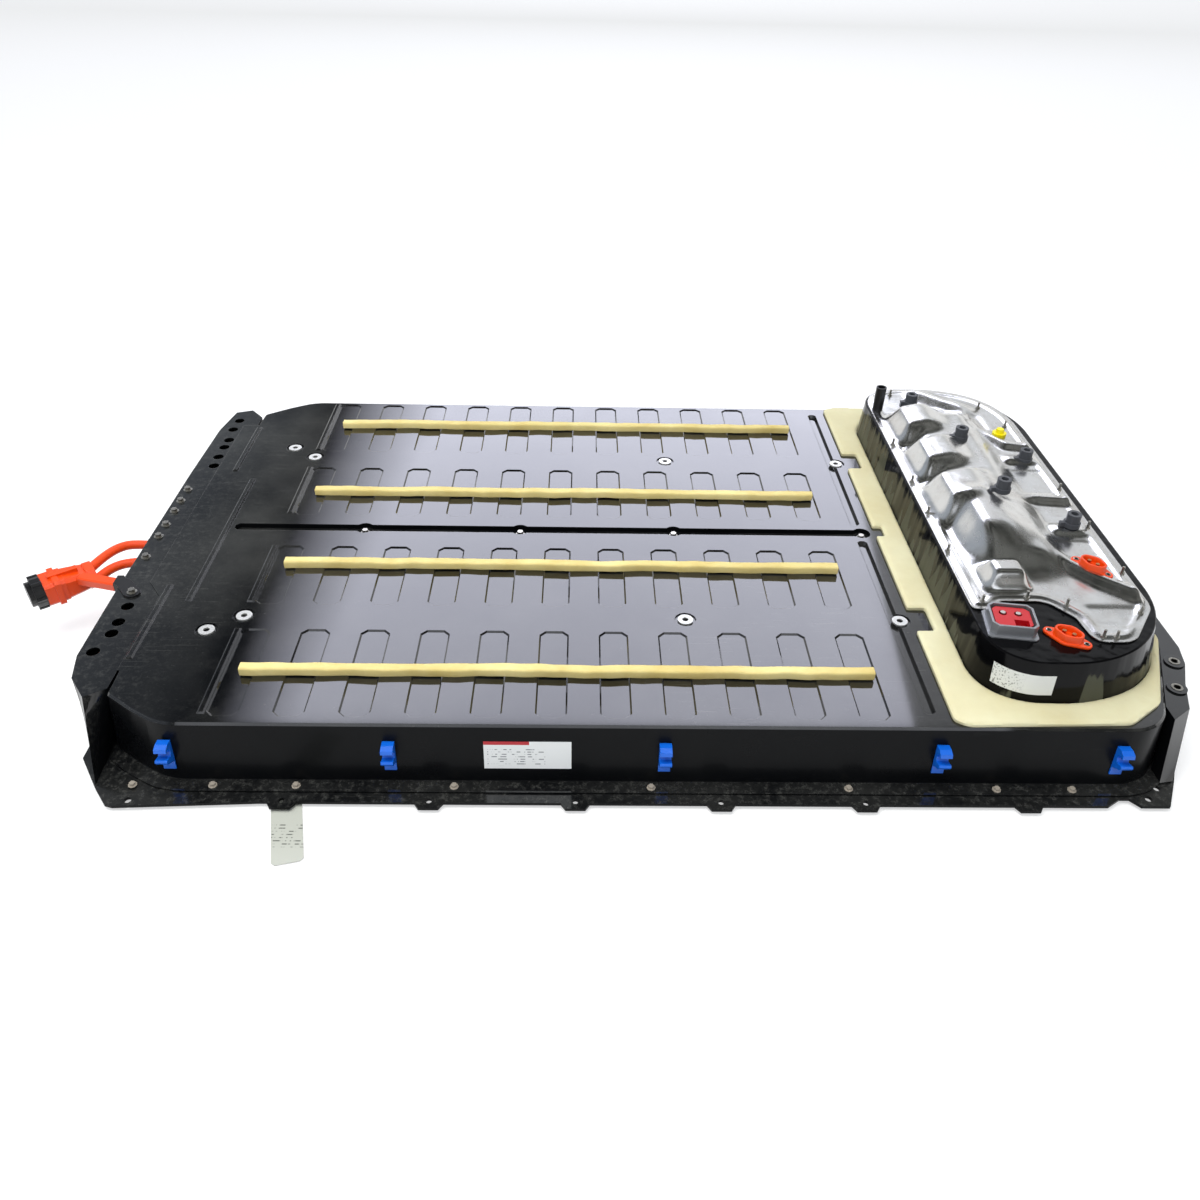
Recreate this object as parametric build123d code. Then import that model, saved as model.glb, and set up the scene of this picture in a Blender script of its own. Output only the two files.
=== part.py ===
"""Traction battery pack of an electric car: a flat sheet-steel cover over four rows of
cells, with the electronics under a silver lid at the rear.

Frame: +X runs from the front connector to the rear lid, +Y across the pack and +Z up.
The origin is the middle of the flat underside. Stations along the pack are distances
behind the cover's front corner, and at() turns one into x. All sizes are in mm.
"""

import os
from math import atan2, cos, degrees, radians, sin, tan

from build123d import *

# ---- driving dimensions -------------------------------------------------------------
PACK_LENGTH = 2162.0  # front plate edge to rear crossmember edge
FRONT_PLATE = 58.0  # overhang of the front plate before the cover
NOSE = FRONT_PLATE - PACK_LENGTH / 2  # x of the cover's front corner

FLOOR = 6.0  # thickness of the floor plate
TRAY = 12.0  # top of the raised rim that the cover bolts to
SEAL = 1.5  # rubber seal between floor plate and cover
SHEET = 2.0  # pressed cover sheet
COVER_TOP = 142.0  # height of the cover's top
COVER_HALF = 641.0  # half width at the cover's top edge
WALL_DRAFT = 13.0  # how far the side wall leans out at its foot
FLANGE_HALF = 682.0  # half width of the cover's foot flange
TRAY_HALF = 704.0  # half width of the floor plate
EAR_REACH = 13.0  # how far a bolt ear stands out of the floor plate
EDGE_ROUND = 8.0  # pressed radius round the top of the cover
COVER_LEAN = atan2(WALL_DRAFT, COVER_TOP - TRAY - SEAL)  # angle of the cover's wall

PAD_PITCH = 117.3  # spacing of the pressed pads along a row
PAD_COUNT = 11
PAD_LENGTH = 58.0
PAD_START = 236.0
PAD_DEPTH = 3.0
PAD_ROWS = ((361, 629), (54, 276), (-289, -75), (-620, -371))
CHANNEL_WIDTH = 26.0
CHANNEL_DEPTH = 12.0
CHANNEL_SPAN = (118, 1562)
CHANNEL_BOLTS = (411, 764, 1115, 1548)
COLLARS = ((167, 376), (228, 329), (1116, 329), (1554, 327))
TRENCH = (1530, 1552)

MODULE_WIDTH = 270.0
MODULE_TOP = 104.0
ROW_CENTRES = (492.0, 165.0)
BEAM_LINE = 329.0
BEAM_WIDTH = 30.0

SKIRT_HEIGHT = 95.0  # black wall round the electronics, above the cover
SKIRT_TOP = COVER_TOP + SKIRT_HEIGHT
SKIRT_SPAN = (1640, 2046)
SKIRT_HALF = 578.0
SKIRT_LEAN = 9.0
LID_SEAL = 1.5
LID_SHEET = 2.5
LID_BASE = SKIRT_TOP + LID_SEAL
FOAM = 10.0

CABLE = 20.0
PLATE_Z = COVER_TOP - SHEET  # top of the front plate, under the cover's lip

os.makedirs("parts", exist_ok=True)


def at(station):
    """x of a station behind the cover's front corner."""
    return NOSE + station


def write(name, *solids):
    """Write one node; loose solids share it."""
    body = solids[0] if len(solids) == 1 else Compound(children=list(solids))
    export_step(body, f"parts/{name}.step")


def block(x, y, z):
    """Box between two corners: x, y and z are (low, high) pairs."""
    centre = [(low + high) / 2 for low, high in (x, y, z)]
    size = [high - low for low, high in (x, y, z)]
    return Pos(*centre) * Box(*size)


def outlined(points, z):
    """Face at height z on an outline given as (station, y) points."""
    return Pos(0, 0, z) * make_face(Polyline(*[(at(s), y) for s, y in points], close=True))


def plate(points, z, thickness):
    """Flat plate on an outline given as (station, y) points."""
    return extrude(outlined(points, z), thickness)


def disc(x, y, z, radius, height):
    """Upright cylinder on z."""
    return Pos(x, y, z + height / 2) * Cylinder(radius, height)


def prism(x, y, z, radius, height, sides=8):
    """Upright many-sided post or hole on z, for small bolts and their clearances."""
    return Pos(x, y, z) * extrude(RegularPolygon(radius, sides), height)


def cornered(length, width, cut):
    """Rectangle with its corners cut off."""
    face = Rectangle(length, width)
    return chamfer(face.vertices(), cut)


def mirrored(points):
    """A near-side outline, then its far-side image walked back to the front."""
    return points + [(s, -y) for s, y in reversed(points)]


def rounded(points, radii, z):
    """Face on a cornered outline with its own radius at each corner."""
    face = outlined(points, 0)
    for (s, y), radius in zip(points, radii):
        if radius:
            corner = min(face.vertices(), key=lambda v: abs(v.X - at(s)) + abs(v.Y - y))
            face = fillet(corner, radius)
    return Pos(0, 0, z) * face


def flange_bolt(x, y, z, head=5.5, shank=3.0, length=9.0):
    """Hexagon bolt with its washer, seated on z with the shank below."""
    washer = prism(x, y, z, head * 1.5, 1.2)
    hexagon = prism(x, y, z + 1.2, head, head * 0.9, 6)
    return washer + hexagon + prism(x, y, z - length, shank, length, 6)


def ring(x, y, z, outer, inner, height):
    """Washer or collar standing on z."""
    return prism(x, y, z, outer, height, 16) - prism(x, y, z - 1, inner, height + 2)


# ---- cover --------------------------------------------------------------------------
COVER_NEAR = [(42, -563), (100, -605), (160, -COVER_HALF), (1960, -COVER_HALF), (2060, -388)]
COVER_RADII = [14, 80, 110, 90, 50]


def cover_face(grow, z):
    """Plan of the cover, grown by an offset, as a face at height z."""
    points = mirrored(COVER_NEAR)
    face = rounded(points, COVER_RADII + COVER_RADII[::-1], 0)
    grown = offset(face, grow, kind=Kind.INTERSECTION) if grow else face
    return Pos(0, 0, z) * grown


def pad_boxes():
    """Plan centre and size of each pressed pad."""
    for low, high in PAD_ROWS:
        for i in range(PAD_COUNT):
            x = at(PAD_START + i * PAD_PITCH + PAD_LENGTH / 2)
            yield x, (low + high) / 2, PAD_LENGTH, high - low


def pressed_slot(x, y, length, width, depth, corner, taper):
    """Recess pressed into the top, narrower at its floor."""
    mouth = Pos(x, y, COVER_TOP) * cornered(length, width, corner)
    return extrude(mouth, -depth, taper=taper)


def channel(extra):
    """Bolt channel along the middle, with a round pocket at each bolt."""
    start, end = (at(s) for s in CHANNEL_SPAN)
    width = CHANNEL_WIDTH + 2 * extra
    plan = Pos((start + end) / 2, 0) * cornered(end - start + 2 * extra, width, 8)
    for station in CHANNEL_BOLTS:
        plan += Pos(at(station), 0) * RegularPolygon(20 + extra, 16)
    return plan


def stiffening_rib(station, low, high):
    """Raised line pressed into the front of the cover, with sloped flanks."""
    foot = Pos(at(station), (low + high) / 2, COVER_TOP) * Rectangle(14, high - low)
    return extrude(foot, 3, taper=45)


def top_cover():
    """One pressing: leaning wall, foot flange, pads, bolt channel and stiffening ribs."""
    depth = COVER_TOP - TRAY - SEAL
    lean = degrees(COVER_LEAN)
    outer = extrude(cover_face(0, COVER_TOP), -depth, taper=-lean)
    outer = chamfer(outer.faces().sort_by(Axis.Z)[-1].outer_wire().edges(), EDGE_ROUND / 2)
    inner = extrude(cover_face(-SHEET, PLATE_Z), SHEET - depth, taper=-lean)
    flange = extrude(cover_face(FLANGE_HALF - COVER_HALF, TRAY + SEAL), SHEET)
    flange -= block((-2000, at(32)), (-900, 900), (0, 30))
    body = outer + flange - inner

    floor_z = COVER_TOP - CHANNEL_DEPTH
    under = [Pos(0, 0, floor_z - SHEET) * extrude(channel(SHEET), CHANNEL_DEPTH)]
    cuts = [Pos(0, 0, floor_z) * extrude(channel(0), CHANNEL_DEPTH + 5)]
    for x, y, length, width in pad_boxes():
        low = COVER_TOP - PAD_DEPTH - SHEET
        under.append(Pos(x, y, low + PAD_DEPTH / 2) * Box(length, width, PAD_DEPTH))
        cuts.append(pressed_slot(x, y, length, width, PAD_DEPTH, 12, 45))
    trench_x, trench = at(sum(TRENCH) / 2), TRENCH[1] - TRENCH[0]
    for side in (-1, 1):
        y = side * 318
        under.append(Pos(trench_x, y, COVER_TOP - 6) * Box(trench + 2, 572, 8))
        cuts.append(pressed_slot(trench_x, y, trench, 570, 8, 6, 30))
        for station, line in COLLARS:
            under.append(prism(at(station), side * line, COVER_TOP - 5, 24, 4))
            cuts.append(prism(at(station), side * line, COVER_TOP - 3, 22, 8, 12))
            cuts.append(prism(at(station), side * line, COVER_TOP - 20, 7, 40))
    for station in CHANNEL_BOLTS:
        cuts.append(prism(at(station), 0, COVER_TOP - 30, 5, 40))
    for station in FLANGE_BOLTS:
        for side in (-1, 1):
            cuts.append(prism(at(station), side * BOLT_LINE, TRAY, 4, 10, 6))
    opening = Pos(at(1828), 0, COVER_TOP - 30) * RectangleRounded(260, 800, 70)
    cuts.append(extrude(opening, 60))
    ribs = [stiffening_rib(48, 251, 485), stiffening_rib(48, -467, -227)]
    ribs += [stiffening_rib(102, -285, 214)]
    ribs += [stiffening_rib(228, low + 4, high) for low, high in PAD_ROWS]
    lip_points = [(2, 498), (2, -218), (38, -267), (38, -500), (60, -500), (60, 498)]
    lip = plate(lip_points, PLATE_Z, SHEET)
    return body.fuse(*under).fuse(*ribs).fuse(lip).cut(*cuts)


# ---- floor plate and its edge fittings ----------------------------------------------
EAR_PITCH = 263.5
EAR_STATIONS = tuple(370 + i * EAR_PITCH for i in range(5))
TRAY_HOLES = ((98, 702), (1976, 660), (1949, 686))
FLANGE_BOLTS = (96, 240, 390, 676, 1035, 1398, 1672, 1812)
BOLT_LINE = 669.0
TRAY_NEAR = [
    (-22, -600),
    (28, -672),
    (60, -TRAY_HALF - 8),
    (74, -TRAY_HALF - 12),
    (330, -TRAY_HALF),
    (1868, -TRAY_HALF),
    (1896, -686),
    (1914, -686),
    (1930, -TRAY_HALF),
    (1982, -TRAY_HALF),
    (2016, -645),
    (2082, -520),
    (2104, -400),
]


def ear(station, side):
    """Bolt ear with a waist on each side."""
    near = TRAY_HALF - 6
    far = TRAY_HALF + EAR_REACH
    points = [(station - 30, near), (station - 18, far), (station + 18, far), (station + 30, near)]
    return plate([(s, side * y) for s, y in points], FLOOR, TRAY - FLOOR)


def base_tray():
    """Floor plate with a raised rim, scalloped by its bolt ears, and a low curb."""
    rim = plate(mirrored(TRAY_NEAR), FLOOR, TRAY - FLOOR)
    holes = []
    for side in (-1, 1):
        for station in EAR_STATIONS + (1722,):
            rim += ear(station, side)
        for station in EAR_STATIONS:
            holes.append(disc(at(station), side * 700, 0, 5.5, 20))
        for station, line in TRAY_HOLES:
            holes.append(disc(at(station), side * line, 0, 6.5, 20))
        for station in FLANGE_BOLTS:
            holes.append(prism(at(station), side * BOLT_LINE, 0, 4, 20, 6))
    centre = at(1015)
    well = Pos(centre, 0, FLOOR) * extrude(RectangleRounded(1940, 1300, 130), 20)
    floor = Pos(centre, 0, 0) * extrude(RectangleRounded(1980, 1320, 150), FLOOR)
    outer = Pos(centre, 0, FLOOR) * extrude(RectangleRounded(1900, 1268, 130), 24)
    inner = Pos(centre, 0, FLOOR) * extrude(RectangleRounded(1892, 1260, 126), 24)
    return (rim - well + floor + (outer - inner)).cut(*holes)


def cover_seal():
    """Rubber strip under the cover's foot flange."""
    outer = cover_face(BOLT_LINE - COVER_HALF - 5, TRAY)
    inner = cover_face(WALL_DRAFT, TRAY)
    body = extrude(outer, SEAL) - extrude(inner, SEAL)
    return body - block((-2000, at(32)), (-900, 900), (0, 30))


def cover_flange_bolts():
    """Small hexagon bolts round the foot of the cover."""
    z = TRAY + SEAL + SHEET
    return [
        flange_bolt(at(station), side * BOLT_LINE, z)
        for station in FLANGE_BOLTS
        for side in (-1, 1)
    ]


def channel_bolts():
    """Larger bolts that hold the cover to the centre beam."""
    z = COVER_TOP - CHANNEL_DEPTH
    return [flange_bolt(at(s), 0, z, 7, 4, 18) for s in CHANNEL_BOLTS]


def cover_collars():
    """Plain rings pressed into the cover's round recesses."""
    z = COVER_TOP - 3
    return [
        ring(at(station), side * line, z, 16, 6.5, 3.5)
        for station, line in COLLARS
        for side in (-1, 1)
    ]


# ---- crossmembers -------------------------------------------------------------------
PLATE_HOLES = (
    (-15, -300), (-14, -352), (-14, -388), (-28, -444),
    (-17, 526), (-20, 475), (-14, 416), (-15, 377), (-15, 326), (-13, 280),
)
FRONT_BOLTS = (163, 111, 65, 7, -42, -123)


FRONT_TOP = [
    (-FRONT_PLATE, 240), (-FRONT_PLATE, -240), (-54, -456), (-38, -520), (2, -572),
    (38, -548), (38, 548), (2, 590), (-38, 575), (-54, 470),
]
FRONT_FOOT = [
    (-20, 240), (-20, -240), (-20, -480), (-16, -560), (28, -668),
    (24, -560), (24, 560), (28, 668), (-16, 600), (-20, 480),
]


def tapered(top, top_z, foot, foot_z, inset):
    """Solid between two outlines, both drawn in by an inset."""
    faces = [outlined(top, top_z - inset), outlined(foot, foot_z - inset)]
    if inset:
        faces = [offset(face, -inset, kind=Kind.INTERSECTION) for face in faces]
    return loft(faces, ruled=True)


def front_crossmember():
    """Hollow beam across the front: its top plate overhangs a sloped face."""
    body = tapered(FRONT_TOP, PLATE_Z, FRONT_FOOT, TRAY, 0)
    body -= tapered(FRONT_TOP, PLATE_Z, FRONT_FOOT, TRAY, 4)
    cuts = [prism(at(s), y, PLATE_Z - 9, 13, 20, 12) for s, y in PLATE_HOLES]
    cuts += [prism(at(-40), y, PLATE_Z - 9, 4.6, 20) for y in FRONT_BOLTS]
    cuts.append(prism(at(-21), -256, PLATE_Z - 9, 4.6, 20))
    for _, y, z in (UPPER_ROUTE[0], LOWER_ROUTE[0]):
        hole = Rot(0, 90, 0) * prism(0, 0, -30, GLAND, 60, 16)
        cuts.append(Pos(at(-52), y, COVER_TOP + z) * hole)
    return body.cut(*cuts)


REAR_TOP = COVER_TOP - 12
REAR_FOOT = TRAY + SEAL + SHEET
REAR_EDGE = [(1996, -600), (2038, -570), (2064, -500), (2092, -441), (2104, -390)]
REAR_FOOT_EDGE = [(1985, -650), (2012, -645), (2060, -540), (2092, -460), (2104, -390)]
EARS_REAR = ((2071, -437), (2040, -514))


def rear_crossmember():
    """Angle behind the cover, with two bossed ears at each end."""
    edge, foot = mirrored(REAR_EDGE), mirrored(REAR_FOOT_EDGE)
    body = tapered(edge, REAR_TOP, foot, REAR_FOOT, 0)
    body -= tapered(edge, REAR_TOP, foot, REAR_FOOT, 5)
    cuts = [extrude(cover_face(4, COVER_TOP), -COVER_TOP, taper=-degrees(COVER_LEAN))]
    for s, y in EARS_REAR:
        for side in (-1, 1):
            body += prism(at(s), side * y, REAR_TOP - 5, 19, 8, 16)
            cuts.append(prism(at(s), side * y, REAR_TOP - 9, 11.2, 20, 16))
    return body.cut(*cuts)


def ear_sleeves():
    """Steel sleeves in the rear ears, where the pack bolts to the car."""
    z = REAR_TOP - 5
    return [ring(at(s), side * y, z, 10.9, 7, 9) for s, y in EARS_REAR for side in (-1, 1)]


def front_bolts():
    """Bolts through the front plate."""
    return [flange_bolt(at(-40), y, PLATE_Z, 7, 3.9, 8) for y in FRONT_BOLTS]


# ---- inside the pack ----------------------------------------------------------------
def beam(y, top, start, end, bolts):
    """Hollow extrusion along the pack, drilled for the cover's bolts."""
    half = BEAM_WIDTH / 2
    outer = block((at(start), at(end)), (y - half, y + half), (FLOOR, top))
    bore = (y - half + 3, y + half - 3)
    inner = block((at(start) - 1, at(end) + 1), bore, (FLOOR + 3, top - 3))
    body = outer - inner
    for station in bolts:
        body -= prism(at(station), y, top - 6, 7, 12, 6)
    return body


def cell_module(y, start, end):
    """Row of cells: a flat-sided block between two thicker end plates."""
    half = MODULE_WIDTH / 2
    flanks = (y - half + 4, y + half - 4)
    body = block((at(start) + 12, at(end) - 12), flanks, (FLOOR, MODULE_TOP - 6))
    for low in (at(start), at(end) - 12):
        body += block((low, low + 12), (y - half, y + half), (FLOOR, MODULE_TOP))
    body += block((at(start), at(end)), (y - 20, y + 20), (MODULE_TOP - 8, MODULE_TOP))
    return body


def module_busbars():
    """Copper links: one joins the inner rows in front, two join each outer row behind."""
    z = (70, 100)
    rear = [block((at(1850), at(1854)), y, z) for y in ((-420, -300), (300, 420))]
    return [block((at(76), at(80)), (-120, 120), z)] + rear


def coolant_manifold():
    """Header pipe across the front ends of the inner rows, with a stub to each."""
    body = block((at(53), at(71)), (-240, 240), (32, 50))
    for y in (-200, -60, 60, 200):
        body += block((at(71), at(80)), (y - 8, y + 8), (35, 47))
    return body


def electronics_plate():
    """Carrier that closes the cover's opening under the lid."""
    plan = Pos(at(1828), 0, COVER_TOP) * cornered(300, 860, 60)
    return extrude(plan, 3)


def power_converter():
    """Finned box that charges the pack and feeds the car's low-voltage side."""
    x, z = (at(1730), at(1960)), COVER_TOP + 3
    body = block(x, (-190, 270), (z, z + 62))
    for i in range(8):
        y = -160 + i * 56
        body += block((x[0] + 20, x[1] - 20), (y, y + 6), (z + 62, z + 72))
    return body


def management_board():
    """Circuit board on four posts that watches the cells."""
    z = COVER_TOP + 3
    body = block((at(1740), at(1950)), (300, 430), (z + 12, z + 14))
    for x in (1750, 1940):
        for y in (310, 420):
            body += prism(at(x), y, z, 5, 12, 6)
    return body


def contactors():
    """Two switches that cut the pack's poles off."""
    z = COVER_TOP + 3
    bodies = []
    for x in (1760, 1850):
        can = prism(at(x), -290, z, 32, 55, 16)
        can += block((at(x) - 34, at(x) + 34), (-320, -260), (z, z + 5))
        bodies.append(can)
    return bodies


def pyro_fuse():
    """Fuse that a crash signal blows, with its two tabs."""
    z = COVER_TOP + 3
    body = block((at(1905), at(1965)), (-320, -270), (z, z + 28))
    return body + block((at(1890), at(1980)), (-305, -285), (z + 8, z + 12))


# ---- electronics housing --------------------------------------------------------------
def skirt_face(inset, z):
    """Plan of the housing: tight corners to the front, wide ones to the rear."""
    front, rear = SKIRT_SPAN[0] + inset, SKIRT_SPAN[1] - inset * 2.6
    half = SKIRT_HALF - inset
    points = [(front, -half), (rear, -half), (rear, half), (front, half)]
    radii = [105 - inset, 245 - inset, 245 - inset, 105 - inset]
    return rounded(points, radii, z)


def penthouse_skirt():
    """Leaning black wall with a foot flange inside and a mouth for the lid."""
    outer = loft([skirt_face(0, COVER_TOP), skirt_face(SKIRT_LEAN, SKIRT_TOP)], ruled=True)
    rim = outer.faces().sort_by(Axis.Z)[-1].outer_wire().edges()
    outer = chamfer(rim, 2)
    low, high = skirt_face(3, COVER_TOP), skirt_face(SKIRT_LEAN + 3, SKIRT_TOP - 3)
    inner = loft([low, high], ruled=True)
    foot = extrude(skirt_face(2, COVER_TOP), 3) - extrude(skirt_face(20, COVER_TOP), 3)
    mouth = Pos(0, 0, SKIRT_TOP - 10) * extrude(lid_face(-14, 0), 20)
    return outer - inner + foot - mouth


# Plan corners of the lid, each with its rounding. The near end swings round two headers.
LID_PLAN = (
    (1652, -414, 12), (1690, -414, 14), (1714, -388, 20), (1802, -388, 40), (1842, -440, 30),
    (1850, -512, 28), (1925, -512, 50), (2003, -405, 60), (2003, 563, 190), (1652, 563, 95),
)


def lid_face(grow, z):
    """Plan of the lid, grown by an offset, as a face at height z."""
    face = rounded([(s, y) for s, y, _ in LID_PLAN], [r for _, _, r in LID_PLAN], 0)
    return Pos(0, 0, z) * (offset(face, grow) if grow else face)


# Each hump is (x span, y span, height, corner size, flank angle) above the lid's flange.
LID_HUMPS = (
    ((1712, 1890), (-300, 410), 26, 40, 35),
    ((1672, 1800), (225, 400), 44, 26, 32),
    ((1670, 1810), (55, 215), 48, 26, 32),
    ((1680, 1880), (-330, 40), 54, 50, 30),
    ((1895, 1980), (20, 110), 10, 14, 40),
    ((1880, 1978), (-160, 0), 10, 14, 40),
    ((1885, 1978), (-360, -200), 8, 24, 40),
    ((1830, 1912), (170, 430), 14, 36, 40),
)


def lid_humps(shrink, z):
    """The lid's pressed forms, as drafted blocks on its flange."""
    solids = []
    for x, y, height, radius, flank in LID_HUMPS:
        length, width = x[1] - x[0] - 2 * shrink, y[1] - y[0] - 2 * shrink
        plan = cornered(length, width, (radius - shrink) * 0.6)
        centre = Pos(at(sum(x) / 2), sum(y) / 2, z)
        solids.append(extrude(centre * plan, height, taper=flank))
    return solids


def penthouse_lid():
    """Pressed lid: a flat flange with its humps, hollow below."""
    outer = extrude(lid_face(0, LID_BASE), LID_SHEET)
    outer = outer.fuse(*lid_humps(0, LID_BASE + LID_SHEET))
    bump = Pos(at(1742), -318, LID_BASE + LID_SHEET) * cornered(78, 62, 6)
    outer += extrude(bump, 34, taper=14)
    hollow = lid_humps(3.2, LID_BASE - 0.2)
    return outer.cut(*hollow)


def lid_seal():
    """Rubber strip between the housing's rim and the lid."""
    return extrude(lid_face(-1, SKIRT_TOP), LID_SEAL) - extrude(lid_face(-13, SKIRT_TOP), LID_SEAL)


LID_STUDS = (
    (1937, 455), (1972, 351), (1992, 39), (1993, -121), (1993, -292), (1972, -424), (1893, -500),
    (1870, -497), (1838, -402), (1769, -378), (1678, -392), (1662, -216), (1662, -67),
    (1662, 68), (1662, 247), (1723, 525),
)


def lid_studs():
    """Nut and stud end at each fixing round the lid."""
    z = LID_BASE + LID_SHEET
    places = [(at(station), y) for station, y in LID_STUDS]
    return [prism(x, y, z, 6, 3, 6) + prism(x, y, z, 3, 16, 6) for x, y in places]


LID_POSTS = ((1762, 470, 0), (1816, 232, 26), (1958, 172, 0), (1812, -62, 54), (1950, -130, 10))


def lid_grommets():
    """Rubber-topped posts that meet the car's floor."""
    posts = []
    for station, y, height in LID_POSTS:
        z = LID_BASE + LID_SHEET + height
        body = prism(at(station), y, z, 15, 30, 16) + prism(at(station), y, z, 18, 10, 16)
        body -= prism(at(station), y, z + 18, 8, 20)
        body += block((at(station) - 26, at(station) - 12), (y - 5, y + 5), (z, z + 10))
        posts.append(body)
    return posts


def low_voltage_connector():
    """Upright round socket for the signal harness."""
    z = LID_BASE + LID_SHEET
    return prism(at(1669), 440, z, 13, 62, 20) - prism(at(1669), 440, z + 40, 10, 40, 12)


def power_header(x, y, z, turn):
    """Orange two-bolt header: oval flange, raised socket and shrouded terminals."""
    flange = extrude(cornered(88, 24, 8) + cornered(50, 44, 12), 5)
    socket = Pos(0, 0, 5) * extrude(cornered(48, 26, 8), 14)
    pocket = Pos(0, 0, 8) * extrude(cornered(36, 15, 5), 20)
    holes = [prism(d, 0, -1, 3, 14, 6) for d in (-35, 35)]
    body = (flange + socket - pocket).cut(*holes)
    return Pos(x, y, z) * Rot(0, 0, turn) * body


def header_terminals(x, y, z, turn):
    """The two contacts standing in a header."""
    return [Pos(x, y, z) * Rot(0, 0, turn) * prism(d, 0, 8, 4, 9) for d in (-9, 9)]


HEADERS = {
    "rear_header": (at(1930), -288, LID_BASE + LID_SHEET + 8, -52),
    "drive_header": (at(1802), -500, SKIRT_TOP, -38),
}
RED_X, RED_Y, RED_TURN = 1708.0, -462.0, -8.0


RED_FRAME = Pos(at(RED_X), RED_Y, SKIRT_TOP) * Rot(0, 0, RED_TURN)


def red_header_shroud():
    """Open red collar with a flat foot, round the main header."""
    wall = extrude(cornered(84, 74, 10), 26) - Pos(0, 0, 3) * extrude(cornered(76, 66, 8), 30)
    foot = extrude(cornered(92, 84, 6), 3)
    return RED_FRAME * (foot + wall)


def red_header_insulator():
    """Block inside the shroud, with a well round each terminal."""
    body = extrude(cornered(68, 58, 8), 19)
    body -= Pos(14, -24, 16) * Box(26, 30, 20)
    for d in (-16, 12):
        body -= prism(d, 10, 11, 7.5, 16, 12)
    return RED_FRAME * Pos(0, 0, 3) * body


def red_header_terminals():
    """The two main contacts."""
    return [RED_FRAME * Pos(0, 0, 3) * prism(d, 10, 11, 5, 10) for d in (-16, 12)]


def service_cap():
    """Yellow plug over the lid's pressure port."""
    cap = extrude(RegularPolygon(17, 12), 7) + extrude(RegularPolygon(12, 12), 17, taper=10)
    return Pos(at(1942), 305, LID_BASE + LID_SHEET) * cap


# ---- foam, clips and labels -----------------------------------------------------------
def foam_surround():
    """Soft frame laid round the housing, notched where it clears the cover's bolts."""
    near = [(1577, -622), (1600, -637), (1900, -630), (1975, -575), (2058, -385)]
    body = plate(mirrored(near), COVER_TOP, FOAM)
    cuts = [extrude(skirt_face(-1.5, COVER_TOP), FOAM)]
    for y, deep, wide in ((-329, 37, 75), (329, 37, 75), (0, 20, 40)):
        cuts.append(block((at(1560), at(1577 + deep)), (y - wide / 2, y + wide / 2), (0, 200)))
    return body.cut(*cuts)


def foam_strip(y):
    """Soft strip along the cover, pressed by the car's floor."""
    return block((at(269), at(1462)), (y - 11, y + 11), (COVER_TOP, COVER_TOP + 17))


def on_wall(station, height):
    """Frame on the near side wall: X along the pack, Y up the wall, Z outwards."""
    y = -COVER_HALF - (COVER_TOP - height) * tan(COVER_LEAN)
    outward = (0, -cos(COVER_LEAN), sin(COVER_LEAN))
    return Plane(origin=(at(station), y, height), x_dir=(1, 0, 0), z_dir=outward)


CLIP_STATIONS = (165, 562, 1058, 1560, 1890)


def side_clip(station):
    """Push-on hook for a hose: back plate, upper jaw and lower hook."""
    outline = [
        (0, 32), (3, 32), (3, 14), (27, 2), (30, -3), (28, -7), (12, -4), (9, -12),
        (11, -20), (18, -23), (22, -19), (26, -21), (24, -28), (14, -32), (0, -32),
    ]
    profile = make_face(Polyline(*outline, close=True))
    body = extrude(profile, 11, both=True)
    body = Plane(origin=(0, 0, 0), x_dir=(0, 0, 1), z_dir=(1, 0, 0)) * body
    body -= Pos(0, 24, -1) * extrude(RegularPolygon(4, 12), 6)
    return on_wall(station, 74).location * body


def side_label():
    """Bare label stuck on the near wall."""
    return on_wall(810, 76).location * extrude(Rectangle(158, 62), 0.4)


def skirt_sticker():
    """Bare sticker wrapped round the housing's near front corner."""
    shells = []
    for grow in (0.4, 0):
        low, high = skirt_face(-grow, COVER_TOP), skirt_face(SKIRT_LEAN - grow, SKIRT_TOP)
        shells.append(loft([low, high], ruled=True))
    window = block((at(1664), at(1765)), (-620, -490), (COVER_TOP + 24, COVER_TOP + 66))
    return (shells[0] - shells[1]) & window


def hanging_tag():
    """Card tag lying on the ground, half under the near edge."""
    card = cornered(54, 150, 6)
    card -= Pos(0, 66) * RegularPolygon(4, 8)
    return Pos(at(392), -758, 0) * Rot(0, 0, 14) * extrude(card, 0.8)


# ---- front power lead -----------------------------------------------------------------
CONNECTOR_HEADING = 217.5  # plan angle from the clamp towards the connector's tip
CLAMP = (-144, -154, -25)  # station, y and height from the cover's top
GLAND = 16.0
# Each route starts square to its gland and ends inside the clamp.
UPPER_ROUTE = [
    (-62, -40, -27), (-95, -45, -21), (-120, -62, -17), (-138, -94, -16), (-151, -130, -18),
    (-158, -152, -20),
]
LOWER_ROUTE = [
    (-62, -96, -34), (-92, -101, -33), (-115, -117, -32), (-131, -141, -33), (-142, -171, -35),
]


def route(points):
    """Centre line of a lead: straight runs joined by arcs as large as the runs allow."""
    corners = [Vector(at(s), y, COVER_TOP + z) for s, y, z in points]
    edges, start = [], corners[0]
    for before, corner, after in zip(corners, corners[1:], corners[2:]):
        into, away = (corner - before).normalized(), (after - corner).normalized()
        turn = radians(into.get_angle(away))
        reach = 0.49 * min((corner - before).length, (after - corner).length)
        radius = reach / tan(turn / 2)
        enter, leave = corner - into * reach, corner + away * reach
        mid = corner + (away - into).normalized() * (radius / cos(turn / 2) - radius)
        edges += [Line(start, enter), ThreePointArc(enter, mid, leave)]
        start = leave
        print("lead bend radius", round(radius))
    return Wire(edges + [Line(start, corners[-1])])


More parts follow.
